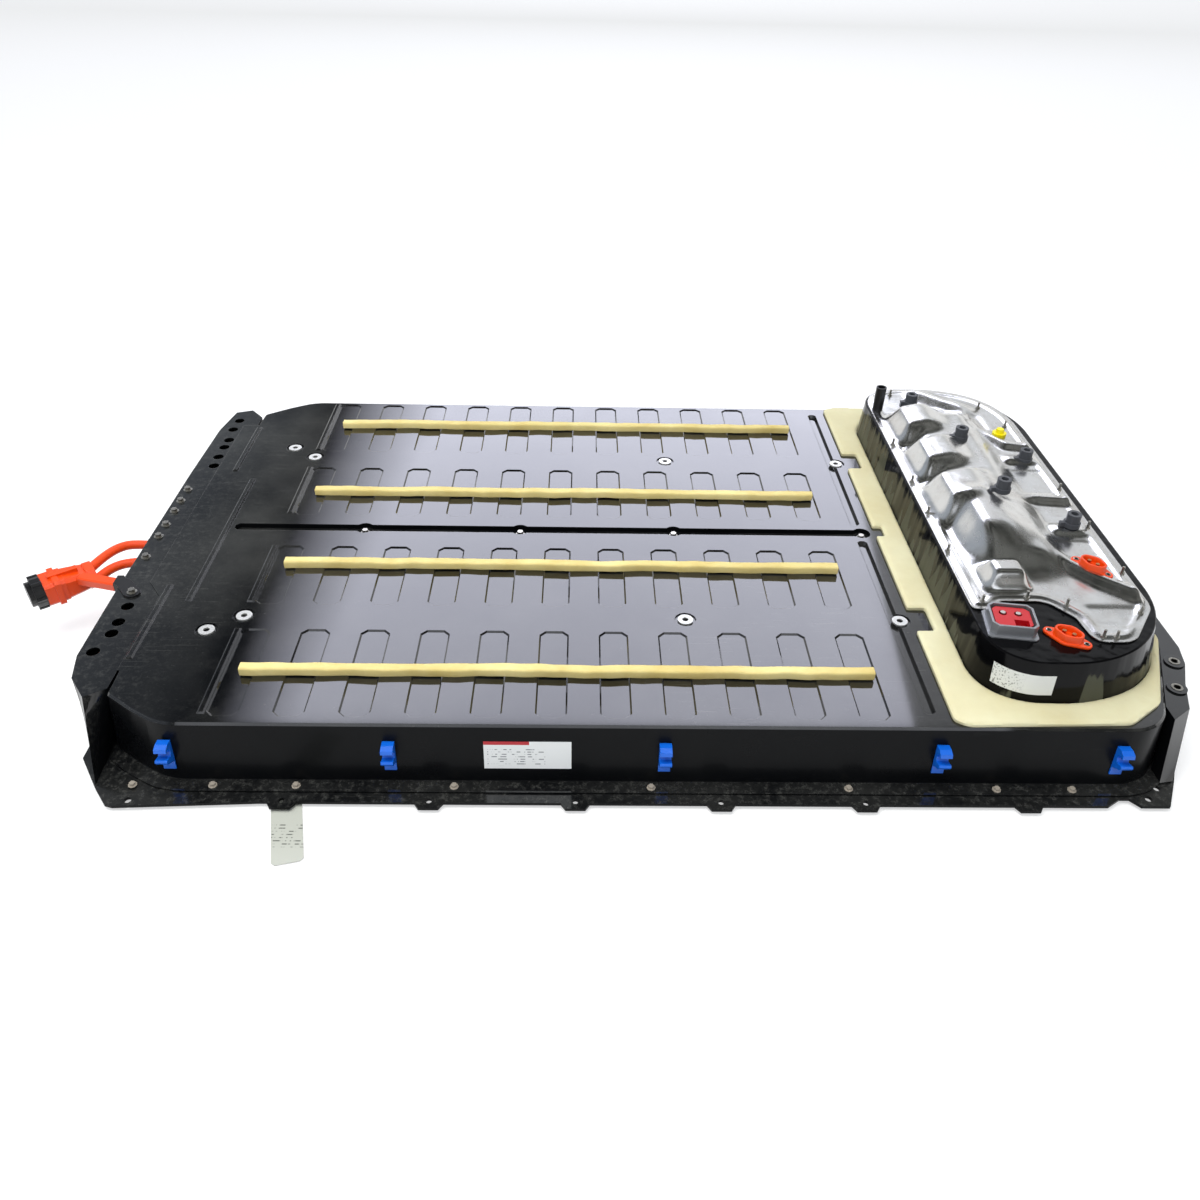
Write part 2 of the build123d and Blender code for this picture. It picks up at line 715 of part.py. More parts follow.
def lead(points):
    """Cable along a route, cut off flush with its gland and the clamp."""
    path = route(points)
    section = Plane(origin=path @ 0, z_dir=path % 0) * RegularPolygon(CABLE / 2, 16)
    gland_face = block((at(-66), at(-20)), (-300, 100), (0, COVER_TOP))
    return sweep(section, path) - cable_clamp_block() - gland_face


def connector_frame(forward):
    """Frame on the connector's axis: Z along the axis, X level and Y up."""
    angle = radians(CONNECTOR_HEADING)
    x_dir = (sin(angle), -cos(angle), 0)
    z_dir = (cos(angle), sin(angle), 0)
    clamp = Vector(at(CLAMP[0]), CLAMP[1], COVER_TOP + CLAMP[2])
    origin = clamp + Vector(*z_dir) * forward
    return Plane(origin=origin, x_dir=x_dir, z_dir=z_dir)


def along(forward, shape, length):
    """Prism of a section along the connector's axis."""
    return extrude(connector_frame(forward) * shape, length)


def cable_clamp_block():
    """Block that grips both leads behind the connector."""
    return along(0, cornered(64, 46, 14), 18)


def cable_glands():
    """Rubber glands that the leads pass out of the front beam through."""
    plugs = []
    for _, y, z in (UPPER_ROUTE[0], LOWER_ROUTE[0]):
        plug = Rot(0, 90, 0) * prism(0, 0, 0, GLAND - 0.3, 34, 16)
        plugs.append(Pos(at(-66), y, COVER_TOP + z) * plug)
    return plugs


def hv_connector_body():
    """Orange housing: a neck that swells to a square shell, and an arm to its bracket."""
    sections = ((18, 56, 40), (40, 58, 46), (62, 62, 50))
    faces = [connector_frame(f) * cornered(w, h, 8) for f, w, h in sections]
    body = loft(faces, ruled=True) + along(62, cornered(64, 52, 7), 42)
    body += along(72, cornered(72, 58, 6), 12)
    body += along(30, Rectangle(14, 62), 60)
    arm_from, arm_to = Vector(at(-154), -192, 0), Vector(at(-70), -213, 0)
    arm = Plane(
        origin=(arm_from.X, arm_from.Y, COVER_TOP - 12),
        z_dir=(arm_to - arm_from).normalized(),
        x_dir=(0, 0, 1),
    )
    body += extrude(arm * cornered(20, 26, 3), (arm_to - arm_from).length)
    return body - cable_clamp_block() - bracket_hook()


def hv_connector_cap():
    """Black protective cap over the mating end."""
    body = along(104, RegularPolygon(33, 20), 20) + along(124, RegularPolygon(27, 20), 10)
    for angle in range(0, 360, 60):
        lug = Pos(32 * cos(radians(angle)), 32 * sin(radians(angle))) * RegularPolygon(5, 6)
        body += along(104, lug, 20)
    return body


def bracket_hook():
    """Leg of the bracket that the connector's arm slots over."""
    return block((at(-71), at(-58)), (-228, -198), (COVER_TOP - 26, PLATE_Z + 4))


def connector_bracket():
    """Black strap that hooks the connector's arm to the front plate."""
    pad = prism(at(-21), -256, PLATE_Z, 17, 4, 12)
    pad += plate([(-72, -199), (-66, -226), (-34, -268), (-8, -245), (-40, -212)], PLATE_Z, 4)
    body = pad + bracket_hook()
    return body - prism(at(-21), -256, PLATE_Z - 5, 4.6, 20)


def bracket_bolt():
    """Bolt that holds the bracket to the front plate."""
    return flange_bolt(at(-21), -256, PLATE_Z + 4, 7, 3.9, 12)


def main():
    """Write every node as a STEP file."""
    write("top_cover", top_cover())
    write("base_tray", base_tray())
    write("cover_seal", cover_seal())
    write("cover_flange_bolts", *cover_flange_bolts())
    write("channel_bolts", *channel_bolts())
    write("cover_collars", *cover_collars())
    write("front_crossmember", front_crossmember())
    write("front_bolts", *front_bolts())
    write("rear_crossmember", rear_crossmember())
    write("ear_sleeves", *ear_sleeves())
    write("centre_beam", beam(0, COVER_TOP - CHANNEL_DEPTH - SHEET, 90, 1690, CHANNEL_BOLTS))
    for name, side in (("near_beam", -1), ("far_beam", 1)):
        write(name, beam(side * BEAM_LINE, COVER_TOP - 5, 140, 1520, (228, 1116)))
    spans = (("outer", ROW_CENTRES[0], 180, 1850), ("inner", ROW_CENTRES[1], 80, 1935))
    for name, y, start, end in spans:
        write(f"cell_module_near_{name}", cell_module(-y, start, end))
        write(f"cell_module_far_{name}", cell_module(y, start, end))
    write("module_busbars", *module_busbars())
    write("coolant_manifold", coolant_manifold())
    write("electronics_plate", electronics_plate())
    write("power_converter", power_converter())
    write("management_board", management_board())
    write("contactors", *contactors())
    write("pyro_fuse", pyro_fuse())
    write("penthouse_skirt", penthouse_skirt())
    write("penthouse_lid", penthouse_lid())
    write("lid_seal", lid_seal())
    write("lid_studs", *lid_studs())
    write("lid_grommets", *lid_grommets())
    write("low_voltage_connector", low_voltage_connector())
    for name, place in HEADERS.items():
        write(name, power_header(*place))
        write(f"{name}_terminals", *header_terminals(*place))
    write("red_header_shroud", red_header_shroud())
    write("red_header_insulator", red_header_insulator())
    write("red_header_terminals", *red_header_terminals())
    write("service_cap", service_cap())
    write("hv_cable_upper", lead(UPPER_ROUTE))
    write("hv_cable_lower", lead(LOWER_ROUTE))
    write("cable_clamp", cable_clamp_block())
    write("cable_glands", *cable_glands())
    write("hv_connector_body", hv_connector_body())
    write("hv_connector_cap", hv_connector_cap())
    write("connector_bracket", connector_bracket())
    write("bracket_bolt", bracket_bolt())
    write("foam_surround", foam_surround())
    for i, y in enumerate((500, 152, -152, -500), start=1):
        write(f"foam_strip_{i}", foam_strip(y))
    write("side_clips", *[side_clip(s) for s in CLIP_STATIONS])
    write("side_label", side_label())
    write("skirt_sticker", skirt_sticker())
    write("hanging_tag", hanging_tag())


main()
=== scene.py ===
# %% [markdown]
# # Traction battery pack of an electric car
#
# The pack lies flat, its front connector to the left and its silver lid to the right. The
# CAD part gives every rigid piece its place and size. This script dresses it: finishes for
# the steel, rubber, plastic and foam, a pressed lid with its real humps, soft foam with worn
# edges and two round cables.
#
# Lengths are metres. X runs from the connector to the lid, Y across the pack, Z up, and the
# origin is the middle of the flat underside.

from math import cos, radians, sin

import bpy
import numpy as np
from mathutils import Matrix, Vector, noise


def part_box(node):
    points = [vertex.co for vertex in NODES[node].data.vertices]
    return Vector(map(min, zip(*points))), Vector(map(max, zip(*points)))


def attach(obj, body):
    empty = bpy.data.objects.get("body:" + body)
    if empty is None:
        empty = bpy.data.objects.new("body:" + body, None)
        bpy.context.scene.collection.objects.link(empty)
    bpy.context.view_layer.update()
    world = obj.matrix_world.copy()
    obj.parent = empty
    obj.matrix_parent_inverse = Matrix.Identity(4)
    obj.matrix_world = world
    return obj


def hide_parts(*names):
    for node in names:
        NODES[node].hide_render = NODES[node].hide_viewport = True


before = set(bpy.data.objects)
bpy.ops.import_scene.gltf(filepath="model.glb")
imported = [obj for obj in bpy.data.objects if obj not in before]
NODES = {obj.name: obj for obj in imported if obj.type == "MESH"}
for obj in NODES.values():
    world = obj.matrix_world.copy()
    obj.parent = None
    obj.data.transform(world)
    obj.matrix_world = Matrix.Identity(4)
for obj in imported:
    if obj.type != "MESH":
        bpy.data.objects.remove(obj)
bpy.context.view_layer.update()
MM = 0.001
COVER_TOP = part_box("foam_strip_1")[0].z
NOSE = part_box("front_crossmember")[0].x + 58 * MM
print("cover top", round(COVER_TOP, 4), "front corner of the cover", round(NOSE, 4))


def at(station):
    """X of a distance in mm behind the cover's front corner."""
    return NOSE + station * MM


# %% [markdown]
# ## Helpers
#
# Colours are written as the hex codes that a paint card would give and turned into linear
# light once. Every node is added through one function, so each material below reads as a
# short list of what the real surface has.


# %% Mesh, colour and node helpers
def mesh_object(name, verts, faces, crease=None):
    """Object in the scene from points and faces, smooth but for creases over an angle."""
    mesh = bpy.data.meshes.new(name)
    mesh.from_pydata(verts, [], faces)
    mesh.update()
    if crease:
        mesh.shade_smooth()
        mesh.set_sharp_from_angle(angle=radians(crease))
    obj = bpy.data.objects.new(name, mesh)
    bpy.context.scene.collection.objects.link(obj)
    return obj


def linear(code):
    """Linear RGBA of an sRGB hex colour."""
    channels = [int(code[i : i + 2], 16) / 255 for i in (1, 3, 5)]
    return [c / 12.92 if c < 0.04045 else ((c + 0.055) / 1.055) ** 2.4 for c in channels] + [1]


def add(tree, kind, inputs=(), **settings):
    """New node with its settings; inputs go by name or in order, as values or outputs."""
    node = tree.nodes.new("ShaderNode" + kind)
    for key, value in settings.items():
        setattr(node, key, value)
    for key, value in inputs.items() if isinstance(inputs, dict) else enumerate(inputs):
        if isinstance(value, bpy.types.NodeSocket):
            tree.links.new(value, node.inputs[key])
        else:
            node.inputs[key].default_value = value
    return node


def noise_at(tree, size, detail=4.0, rough=0.55, stretch=(1, 1, 1)):
    """Noise in object space whose features are the given number of mm across."""
    where = add(tree, "TexCoord").outputs["Object"]
    where = add(tree, "Mapping", {"Vector": where, "Scale": stretch}).outputs[0]
    inputs = {"Vector": where, "Scale": 1000 / size, "Detail": detail, "Roughness": rough}
    return add(tree, "TexNoise", inputs).outputs["Fac"]


def finish_of(name, colour, edge=0.6, bumps=(), **sockets):
    """Principled material with worn-in edges; bumps are (height source, depth in mm)."""
    material = bpy.data.materials.new(name)
    material.use_nodes = True
    tree = material.node_tree
    surface = tree.nodes["Principled BSDF"]
    if isinstance(colour, str):
        surface.inputs["Base Color"].default_value = linear(colour)
    for key, value in sockets.items():
        surface.inputs[key.replace("_", " ")].default_value = value
    normal = add(tree, "Bevel", {"Radius": edge * MM}, samples=6).outputs[0]
    for build, depth in bumps:
        inputs = {"Height": build(tree), "Distance": depth * MM, "Normal": normal}
        normal = add(tree, "Bump", inputs).outputs[0]
    tree.links.new(normal, surface.inputs["Normal"])
    return material, tree, surface


# %% [markdown]
# ## Finishes
#
# **E-coated steel.** The cover is one deep-drawn sheet, dipped in black electrocoat and
# sprayed with a clear gloss, thickest where it could pool and thinner on the walls. Sheet
# this wide never comes out flat, so a slow ripple half a millimetre deep bends its
# reflections, and handling leaves fine scratches and a film of dust that dulls the gloss.
#
# Each of these is noise of its own size, made first as a small function, so that the
# finishes below can share them.


# %% What handling and pressing leave on the steel
def ripple(tree):
    """Slow unevenness of wide sheet."""
    return noise_at(tree, 200, 1.0, 0.4)


def orange_peel(tree):
    """Fine skin that a baked coat has."""
    return noise_at(tree, 2.38, 2.0)


def scratch_mask(tree):
    """Thin hair scratches that run mostly along the pack."""
    fine = noise_at(tree, 111, 3.0, 0.6, (1.0, 26.0, 1.0))
    patches = noise_at(tree, 455, 2.0)
    thin = add(tree, "MapRange", (fine, 0.635, 0.66, 0, 1)).outputs[0]
    where = add(tree, "MapRange", (patches, 0.48, 0.62, 0, 1)).outputs[0]
    return add(tree, "Math", (thin, where), operation="MULTIPLY").outputs[0]


def settled_dust(tree):
    """Where grit gathers: the foot flange and the front end, in patches."""
    place = add(tree, "SeparateXYZ", {0: add(tree, "TexCoord").outputs["Object"]})
    low = add(tree, "MapRange", (place.outputs["Z"], 0.018, 0.030, 0.02, 0)).outputs[0]
    front = add(tree, "MapRange", (place.outputs["X"], at(-40), at(190), 0.018, 0)).outputs[0]
    return add(tree, "Math", (low, front), operation="MAXIMUM").outputs[0]


def flutes(tree):
    """Upright waves that the deep draw leaves in a wall."""
    return noise_at(tree, 38.5, 1.5, 0.5, (1.0, 1.0, 0.08))


print("steel marks:", [f.__name__ for f in (ripple, orange_peel, scratch_mask, flutes)])

# %% [markdown]
# The finish is a near-black base under a clear coat. Dirt is a sum of film, grit, specks and
# scratches, laid over the base colour, and it rests on faces that look up. A wall has
# almost no clear coat and a rougher base, which keeps it black beside the glossy top.


# %% Black steel
def black_steel(name, edge, dust, gloss, more_bumps=()):
    """Black coated steel with a dust film of the given strength."""
    bumps = ((ripple, 0.5), (orange_peel, 0.004)) + more_bumps
    material, tree, surface = finish_of(name, None, edge, bumps, IOR=1.5)
    film = add(tree, "MapRange", (noise_at(tree, 323, 8.0, 0.7), 0.42, 0.72, 0, dust)).outputs[0]
    grit = add(tree, "MapRange", (noise_at(tree, 14.3, 8.0, 0.8), 0.5, 0.66, 0.3, 5.0)).outputs[0]
    lying = settled_dust(tree)
    settled = add(tree, "Math", (lying, grit), operation="MULTIPLY").outputs[0]
    film = add(tree, "Math", (film, settled), operation="ADD").outputs[0]
    specks = noise_at(tree, 6.25, 3.0, 0.7)
    specks = add(tree, "MapRange", (specks, 0.66, 0.74, 0, dust * 1.5)).outputs[0]
    marks = add(tree, "Math", (scratch_mask(tree), dust), operation="MULTIPLY").outputs[0]
    dirt = add(tree, "Math", (film, specks), operation="ADD").outputs[0]
    dirt = add(tree, "Math", (dirt, marks), operation="ADD").outputs[0]
    facing = add(tree, "SeparateXYZ", {0: add(tree, "TexCoord").outputs["Normal"]})
    rests = add(tree, "MapRange", (facing.outputs["Z"], 0.12, 0.4, 0.1, 1)).outputs[0]
    dirt = add(tree, "Math", (dirt, rests), operation="MULTIPLY").outputs[0]
    tints = {0: dirt, 6: linear("#08090B"), 7: linear("#A7A79F")}
    colour = add(tree, "Mix", tints, data_type="RGBA").outputs[2]
    tree.links.new(colour, surface.inputs["Base Color"])
    wall = add(tree, "MapRange", (facing.outputs["Z"], 0.12, 0.4, 0.2, 0)).outputs[0]
    rough = noise_at(tree, 143, 5.0)
    rough = add(tree, "MapRange", (rough, 0.3, 0.75, gloss, gloss + 0.12)).outputs[0]
    rough = add(tree, "Math", (rough, wall), operation="ADD").outputs[0]
    tree.links.new(rough, surface.inputs["Roughness"])
    pooled = add(tree, "MapRange", (facing.outputs["Z"], 0.12, 0.4, 0.02, 1)).outputs[0]
    tree.links.new(pooled, surface.inputs["Coat Weight"])
    surface.inputs["Specular IOR Level"].default_value = 0.08
    surface.inputs["Coat Roughness"].default_value = gloss
    surface.inputs["Coat IOR"].default_value = 1.6
    return material


COVER = black_steel("e-coated_steel_cover", 3.0, 0.06, 0.05)
TRAY = black_steel("e-coated_steel_tray", 1.2, 0.05, 0.12)
BEAM = black_steel("e-coated_steel_beam", 2.0, 0.04, 0.08)
print("black steels", COVER.name, TRAY.name, BEAM.name)

# %% [markdown]
# The housing's wall is the same steel, fluted and duller. Its pattern of black teeth about
# 38 mm apart, hanging from the rim over a grey-olive coat, is a painted reflection of the
# foam in the gloss wall, and the near end is painted blacker as painted shade. A band that
# gets harder to fill towards the foot, against noise drawn out downwards, gives teeth of
# uneven length.


# %% Housing steel with a painted reflection
def housing_steel_painted_reflection():
    """Housing finish: black teeth 38 mm apart over a grey-olive painted reflection of the foam."""
    material, tree, surface = finish_of(
        "e-coated_steel_housing_painted_reflection", None, 2.5, ((flutes, 3.0), (orange_peel, 0.004)), IOR=1.5
    )
    place = add(tree, "SeparateXYZ", {0: add(tree, "TexCoord").outputs["Object"]}).outputs
    low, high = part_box("penthouse_skirt")
    need = add(tree, "MapRange", (place["Z"], low.z, high.z - 6 * MM, 0.56, 0.32)).outputs[0]
    # Painted shade: towards the near end more of the wall is painted black.
    nearer = add(tree, "MapRange", (place["Y"], low.y + 0.05, low.y + 0.3, 0.16, 0)).outputs[0]
    need = add(tree, "Math", (need, nearer), operation="SUBTRACT").outputs[0]
    rim = add(tree, "MapRange", (place["Z"], high.z - 6 * MM, high.z - 5 * MM, 0, 1)).outputs[0]
    need = add(tree, "Math", (need, rim), operation="SUBTRACT").outputs[0]
    # Noise drawn out upright shapes the teeth of the painted reflection.
    reflection_streaks = noise_at(tree, 58.8, 2.5, 0.6, (1.0, 1.0, 0.08))
    tooth = add(tree, "Math", (place["Y"], 19 * MM), operation="PINGPONG").outputs[0]
    tooth = add(tree, "MapRange", (tooth, 0, 19 * MM, -0.07, 0.07)).outputs[0]
    reflection_streaks = add(tree, "Math", (reflection_streaks, tooth), operation="ADD").outputs[0]
    over = add(tree, "Math", (reflection_streaks, need), operation="SUBTRACT").outputs[0]
    black = add(tree, "MapRange", (over, -0.01, 0.02, 0, 1)).outputs[0]
    # The grey-olive coat between the black teeth is a painted reflection of the foam.
    tints = {0: black, 6: linear("#4A4B3E"), 7: linear("#060607")}
    colour = add(tree, "Mix", tints, data_type="RGBA").outputs[2]
    tree.links.new(colour, surface.inputs["Base Color"])
    rough = add(tree, "MapRange", (black, 0, 1, 0.5, 0.12)).outputs[0]
    tree.links.new(rough, surface.inputs["Roughness"])
    clear = add(tree, "MapRange", (place["Y"], low.y + 0.05, low.y + 0.3, 0.05, 0.15)).outputs[0]
    tree.links.new(clear, surface.inputs["Coat Weight"])
    surface.inputs["Coat Roughness"].default_value = 0.08
    surface.inputs["Specular IOR Level"].default_value = 0.1
    return material


SKIRT = housing_steel_painted_reflection()
print("housing steel", SKIRT.name)

# %% [markdown]
# **Other materials.** The lid is bright pressed aluminium with faint rolling marks, smooth
# enough to mirror and rough enough to blur what it mirrors. Fixings are zinc plated, a
# little duller. Glands and posts are rubber, which hardly shines. The clips are PBT and
# the high-voltage parts are moulded in signal orange, both with a soft plastic sheen.


# %% Metals, rubbers and plastics
def rolled(tree):
    """Streaks left by the rolling mill."""
    return noise_at(tree, 16.7, 3.0, 0.6, (1.0, 5.0, 1.0))


def cloudy(tree):
    """Shallow unevenness where the punch stretched the sheet."""
    return noise_at(tree, 45.5, 3.0)


def pores(tree):
    """Moulding grain, drawn at 1 mm so that it shows at all."""
    return noise_at(tree, 1.11, 2.0)


def plain(name, colour, rough, **more):
    """Material without a pattern of its own, bar the grain its moulding leaves."""
    return finish_of(name, colour, 0.8, ((pores, 0.01),), Roughness=rough, **more)[0]


LID, lid_tree, lid_surface = finish_of(
    "pressed_aluminium", "#DDDDDB", 1.5, ((rolled, 0.02), (cloudy, 0.25)), Metallic=1.0
)
lid_rough = noise_at(lid_tree, 33.3, 4.0)
lid_rough = add(lid_tree, "MapRange", (lid_rough, 0.3, 0.7, 0.17, 0.3)).outputs[0]
lid_tree.links.new(lid_rough, lid_surface.inputs["Roughness"])
stain = noise_at(lid_tree, 71.4, 6.0, 0.65)
stain = add(lid_tree, "MapRange", (stain, 0.45, 0.75, 0, 0.45)).outputs[0]
tints = {0: stain, 6: linear("#DDDDDB"), 7: linear("#B7AEA4")}
lid_colour = add(lid_tree, "Mix", tints, data_type="RGBA").outputs[2]
lid_tree.links.new(lid_colour, lid_surface.inputs["Base Color"])

FINISH = {
    "cast_lid": LID,
    "aluminium": plain("extruded_aluminium", "#B9BABC", 0.35, Metallic=1.0),
    "zinc_steel": plain("zinc_plated_steel", "#B5B2A9", 0.3, Metallic=1.0),
    "copper": plain("bare_copper", "#C98A5E", 0.3, Metallic=1.0),
    "black_rubber": plain("EPDM_rubber", "#1A1A1B", 0.6, IOR=1.52),
    "grey_rubber": plain("grey_silicone_rubber", "#45474B", 0.42, IOR=1.43),
    "black_plastic": plain("black_PA66", "#141415", 0.38, IOR=1.53),
    "orange_plastic": plain("orange_PBT", "#E04300", 0.32, IOR=1.55),
    "orange_sleeve": plain("orange_silicone_sleeve", "#DE4510", 0.42, IOR=1.43),
    "red_plastic": plain("red_PBT", "#B3101A", 0.28, IOR=1.55),
    "yellow_plastic": plain("yellow_PP", "#F2DF00", 0.35, IOR=1.49),
    "blue_plastic": plain("blue_PBT", "#0860CC", 0.34, IOR=1.55),
    "white_card": plain("printed_film", "#EDEEEC", 0.45, IOR=1.48),
    "cell_block": plain("potted_cells", "#8E9296", 0.5),
    "green_board": plain("FR4_board", "#1F5A34", 0.4),
    "tray_steel": TRAY,
    "black_steel": COVER,
}
print(len(FINISH), "finishes by slot")

# %% [markdown]
# **Foam.** Closed-cell polyethylene foam, cream when new and yellower where it has been in
# the light. Light enters it a little, and its skin has shallow dimples.


# %% Foam
def dimples(tree):
    """Shallow dents of the foam's skin."""
    return noise_at(tree, 18.2, 4.0)


def foam_cells(tree):
    """Foam cells, drawn a little coarser than the real half millimetre."""
    return noise_at(tree, 1.43, 2.0)


def foam(name, fresh, aged):
    """Foam between two tints, blotched at the scale of a hand."""
    material, tree, surface = finish_of(
        name, None, 1.5, ((dimples, 1.2), (foam_cells, 0.12)), Roughness=0.85, IOR=1.5
    )
    age = add(tree, "MapRange", (noise_at(tree, 167, 5.0, 0.6), 0.35, 0.7, 0, 1)).outputs[0]
    tints = {0: age, 6: linear(fresh), 7: linear(aged)}
    colour = add(tree, "Mix", tints, data_type="RGBA").outputs[2]
    tree.links.new(colour, surface.inputs["Base Color"])
    surface.inputs["Subsurface Weight"].default_value = 0.15
    surface.inputs["Subsurface Radius"].default_value = (0.004, 0.003, 0.002)
    return material


SURROUND_FOAM = foam("PE_foam_surround", "#D6D1AC", "#CAC197")
STRIP_FOAM = foam("PE_foam_strip", "#E2D291", "#C4AE66")

# %% [markdown]
# **Printed film.** The type label is a white film with a red band and grey ruled lines. It
# carries no words here. The sticker on the housing is bare and scuffed at one end, and the
# card tag has a few ruled lines.


# %% Label, sticker and tag
def ruled(tree, along, up, pitch, share):
    """Grey ruled lines of uneven length, as a mask."""
    rows = add(tree, "Math", (up, pitch * MM), operation="DIVIDE").outputs[0]
    phase = add(tree, "Math", (rows,), operation="FRACT").outputs[0]
    line = add(tree, "MapRange", (phase, share, share + 0.05, 1, 0)).outputs[0]
    row = add(tree, "Math", (rows,), operation="FLOOR").outputs[0]
    where = add(tree, "CombineXYZ", {0: along, 1: row}).outputs[0]
    gaps = add(tree, "TexNoise", {"Vector": where, "Scale": 60.0, "Detail": 3.0}).outputs["Fac"]
    filled = add(tree, "MapRange", (gaps, 0.46, 0.5, 1, 0)).outputs[0]
    return add(tree, "Math", (line, filled), operation="MULTIPLY").outputs[0]


def between(tree, value, low, high):
    """1 where the value lies between two bounds."""
    above = add(tree, "Math", (value, low), operation="GREATER_THAN").outputs[0]
    below = add(tree, "Math", (value, high), operation="LESS_THAN").outputs[0]
    return add(tree, "Math", (above, below), operation="MULTIPLY").outputs[0]


def film(name):
    """White film, with its tree, surface and place in metres."""
    material, tree, surface = finish_of(name, "#E6E8E6", 0.3, (), Roughness=0.4, IOR=1.48)
    place = add(tree, "SeparateXYZ", {0: add(tree, "TexCoord").outputs["Object"]})
    return material, tree, surface, place.outputs


LABEL, tree, surface, place = film("label_film")
low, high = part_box("side_label")
wide, tall = high.x - low.x, high.z - low.z
text = ruled(tree, place["X"], place["Z"], 5.5, 0.34)
field = between(tree, place["X"], low.x + 0.04 * wide, low.x + 0.70 * wide)
inner = between(tree, place["Z"], low.z + 0.10 * tall, low.z + 0.78 * tall)
text = add(tree, "Math", (text, field), operation="MULTIPLY").outputs[0]
text = add(tree, "Math", (text, inner), operation="MULTIPLY").outputs[0]
band = between(tree, place["X"], low.x, low.x + 0.52 * wide)
top = between(tree, place["Z"], low.z + 0.88 * tall, high.z)
band = add(tree, "Math", (band, top), operation="MULTIPLY").outputs[0]
tints = {0: text, 6: linear("#E6E8E6"), 7: linear("#77797A")}
shade = add(tree, "Mix", tints, data_type="RGBA").outputs[2]
tints = {0: band, 6: shade, 7: linear("#B4202A")}
shade = add(tree, "Mix", tints, data_type="RGBA").outputs[2]
tree.links.new(shade, surface.inputs["Base Color"])

STICKER, tree, surface, place = film("sticker_film")
low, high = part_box("skirt_sticker")
speckle = noise_at(tree, 3.85, 2.0)
wide = high.x - low.x
worn = add(tree, "MapRange", (place["X"], low.x + 0.25 * wide, low.x + 0.5 * wide, 1, 0)).outputs[0]
speckle = add(tree, "MapRange", (speckle, 0.56, 0.62, 0, 0.8)).outputs[0]
speckle = add(tree, "Math", (speckle, worn), operation="MULTIPLY").outputs[0]
tints = {0: speckle, 6: linear("#D9DBD6"), 7: linear("#55564F")}
shade = add(tree, "Mix", tints, data_type="RGBA").outputs[2]
tree.links.new(shade, surface.inputs["Base Color"])

TAG, tree, surface, place = film("tag_card")
low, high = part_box("hanging_tag")
text = ruled(tree, place["X"], place["Y"], 7.0, 0.3)
deep = high.y - low.y
field = between(tree, place["Y"], low.y + 0.25 * deep, low.y + 0.6 * deep)
text = add(tree, "Math", (text, field), operation="MULTIPLY").outputs[0]
tints = {0: text, 6: linear("#B5B7AC"), 7: linear("#5F615B")}
shade = add(tree, "Mix", tints, data_type="RGBA").outputs[2]
tree.links.new(shade, surface.inputs["Base Color"])
print("films", LABEL.name, STICKER.name, TAG.name)

# %% [markdown]
# ## Dress the CAD nodes
#
# Each node takes the finish of its slot in the part's own record, and the few large pieces
# that differ from their slot take a finish of their own.

# %% Finish for every node
GROUPS = {
    "tray_steel": ("base_tray",),
    "aluminium": ("centre_beam", "near_beam", "far_beam", "electronics_plate", "power_converter"),
    "zinc_steel": ("channel_bolts", "cover_collars", "front_bolts", "bracket_bolt", "lid_studs"),
    "copper": ("module_busbars", "rear_header_terminals", "drive_header_terminals"),
    "black_rubber": ("cover_seal", "lid_seal", "cable_glands"),
    "grey_rubber": ("lid_grommets",),
    "black_plastic": ("hv_connector_cap", "connector_bracket", "low_voltage_connector"),
    "orange_plastic": ("hv_connector_body", "cable_clamp", "rear_header", "drive_header"),
    "red_plastic": ("red_header_insulator",),
    "yellow_plastic": ("service_cap",),
    "blue_plastic": ("side_clips",),
    "white_card": ("hanging_tag", "side_label", "skirt_sticker"),
    "cell_block": ("contactors", "pyro_fuse"),
    "green_board": ("management_board",),
}
by_node = {name: FINISH[slot] for slot, names in GROUPS.items() for name in names}
by_node["front_crossmember"] = BEAM
by_node["rear_crossmember"] = BEAM
by_node["penthouse_skirt"] = SKIRT
by_node["cover_flange_bolts"] = plain("dusty_zinc_steel", "#A79E90", 0.6, Metallic=0.3)
by_node["cover_collars"] = plain("bright_zinc_steel", "#D2D2CE", 0.4, Metallic=0.6)
by_node["ear_sleeves"] = FINISH["zinc_steel"]
by_node["red_header_shroud"] = plain("shroud_aluminium", "#A0A2A5", 0.35, Metallic=0.7)
by_node["red_header_terminals"] = plain("tinned_copper", "#D8D5CE", 0.3, Metallic=1.0)
by_node["coolant_manifold"] = FINISH["black_plastic"]
by_node["side_label"] = LABEL
by_node["skirt_sticker"] = STICKER
by_node["hanging_tag"] = TAG
for name, node in NODES.items():
    node.data.materials.clear()
    default = FINISH["cell_block"] if name.startswith("cell_module") else COVER
    node.data.materials.append(by_node.get(name, default))
print("dressed", len(NODES), "nodes,", len(by_node), "by name")

# %% [markdown]
# ## Sheets with a shaped top
#
# The lid and the foam frame are both flat blanks with a shaped top. The blank is a grid cut
# to its outline: the cells whose middle lies inside are kept, and the rim's corners are
# moved onto the outline, so that the edge is as smooth as the outline is.


# %% Outline and grid tools
def arc_corners(points, radii, steps=10):
    """Closed outline with rounded corners, as an array of points."""
    out = []
    for i, radius in enumerate(radii):
        before, corner, after = (np.array(points[(i + k) % len(points)]) for k in (-1, 0, 1))
        into, away = before - corner, after - corner
        into, away = into / np.linalg.norm(into), away / np.linalg.norm(away)
        half = np.arccos(np.clip(np.dot(into, away), -1, 1)) / 2
        reach = radius / np.tan(half)
        start, end = corner + into * reach, corner + away * reach
        bend = radius * (1 / np.sin(half) - 1)
        tip = corner + (into + away) / np.linalg.norm(into + away) * bend
        control = 2 * tip - (start + end) / 2
        for t in np.linspace(0, 1, steps if radius else 1):
            out.append((1 - t) ** 2 * start + 2 * t * (1 - t) * control + t * t * end)
    return np.array(out)


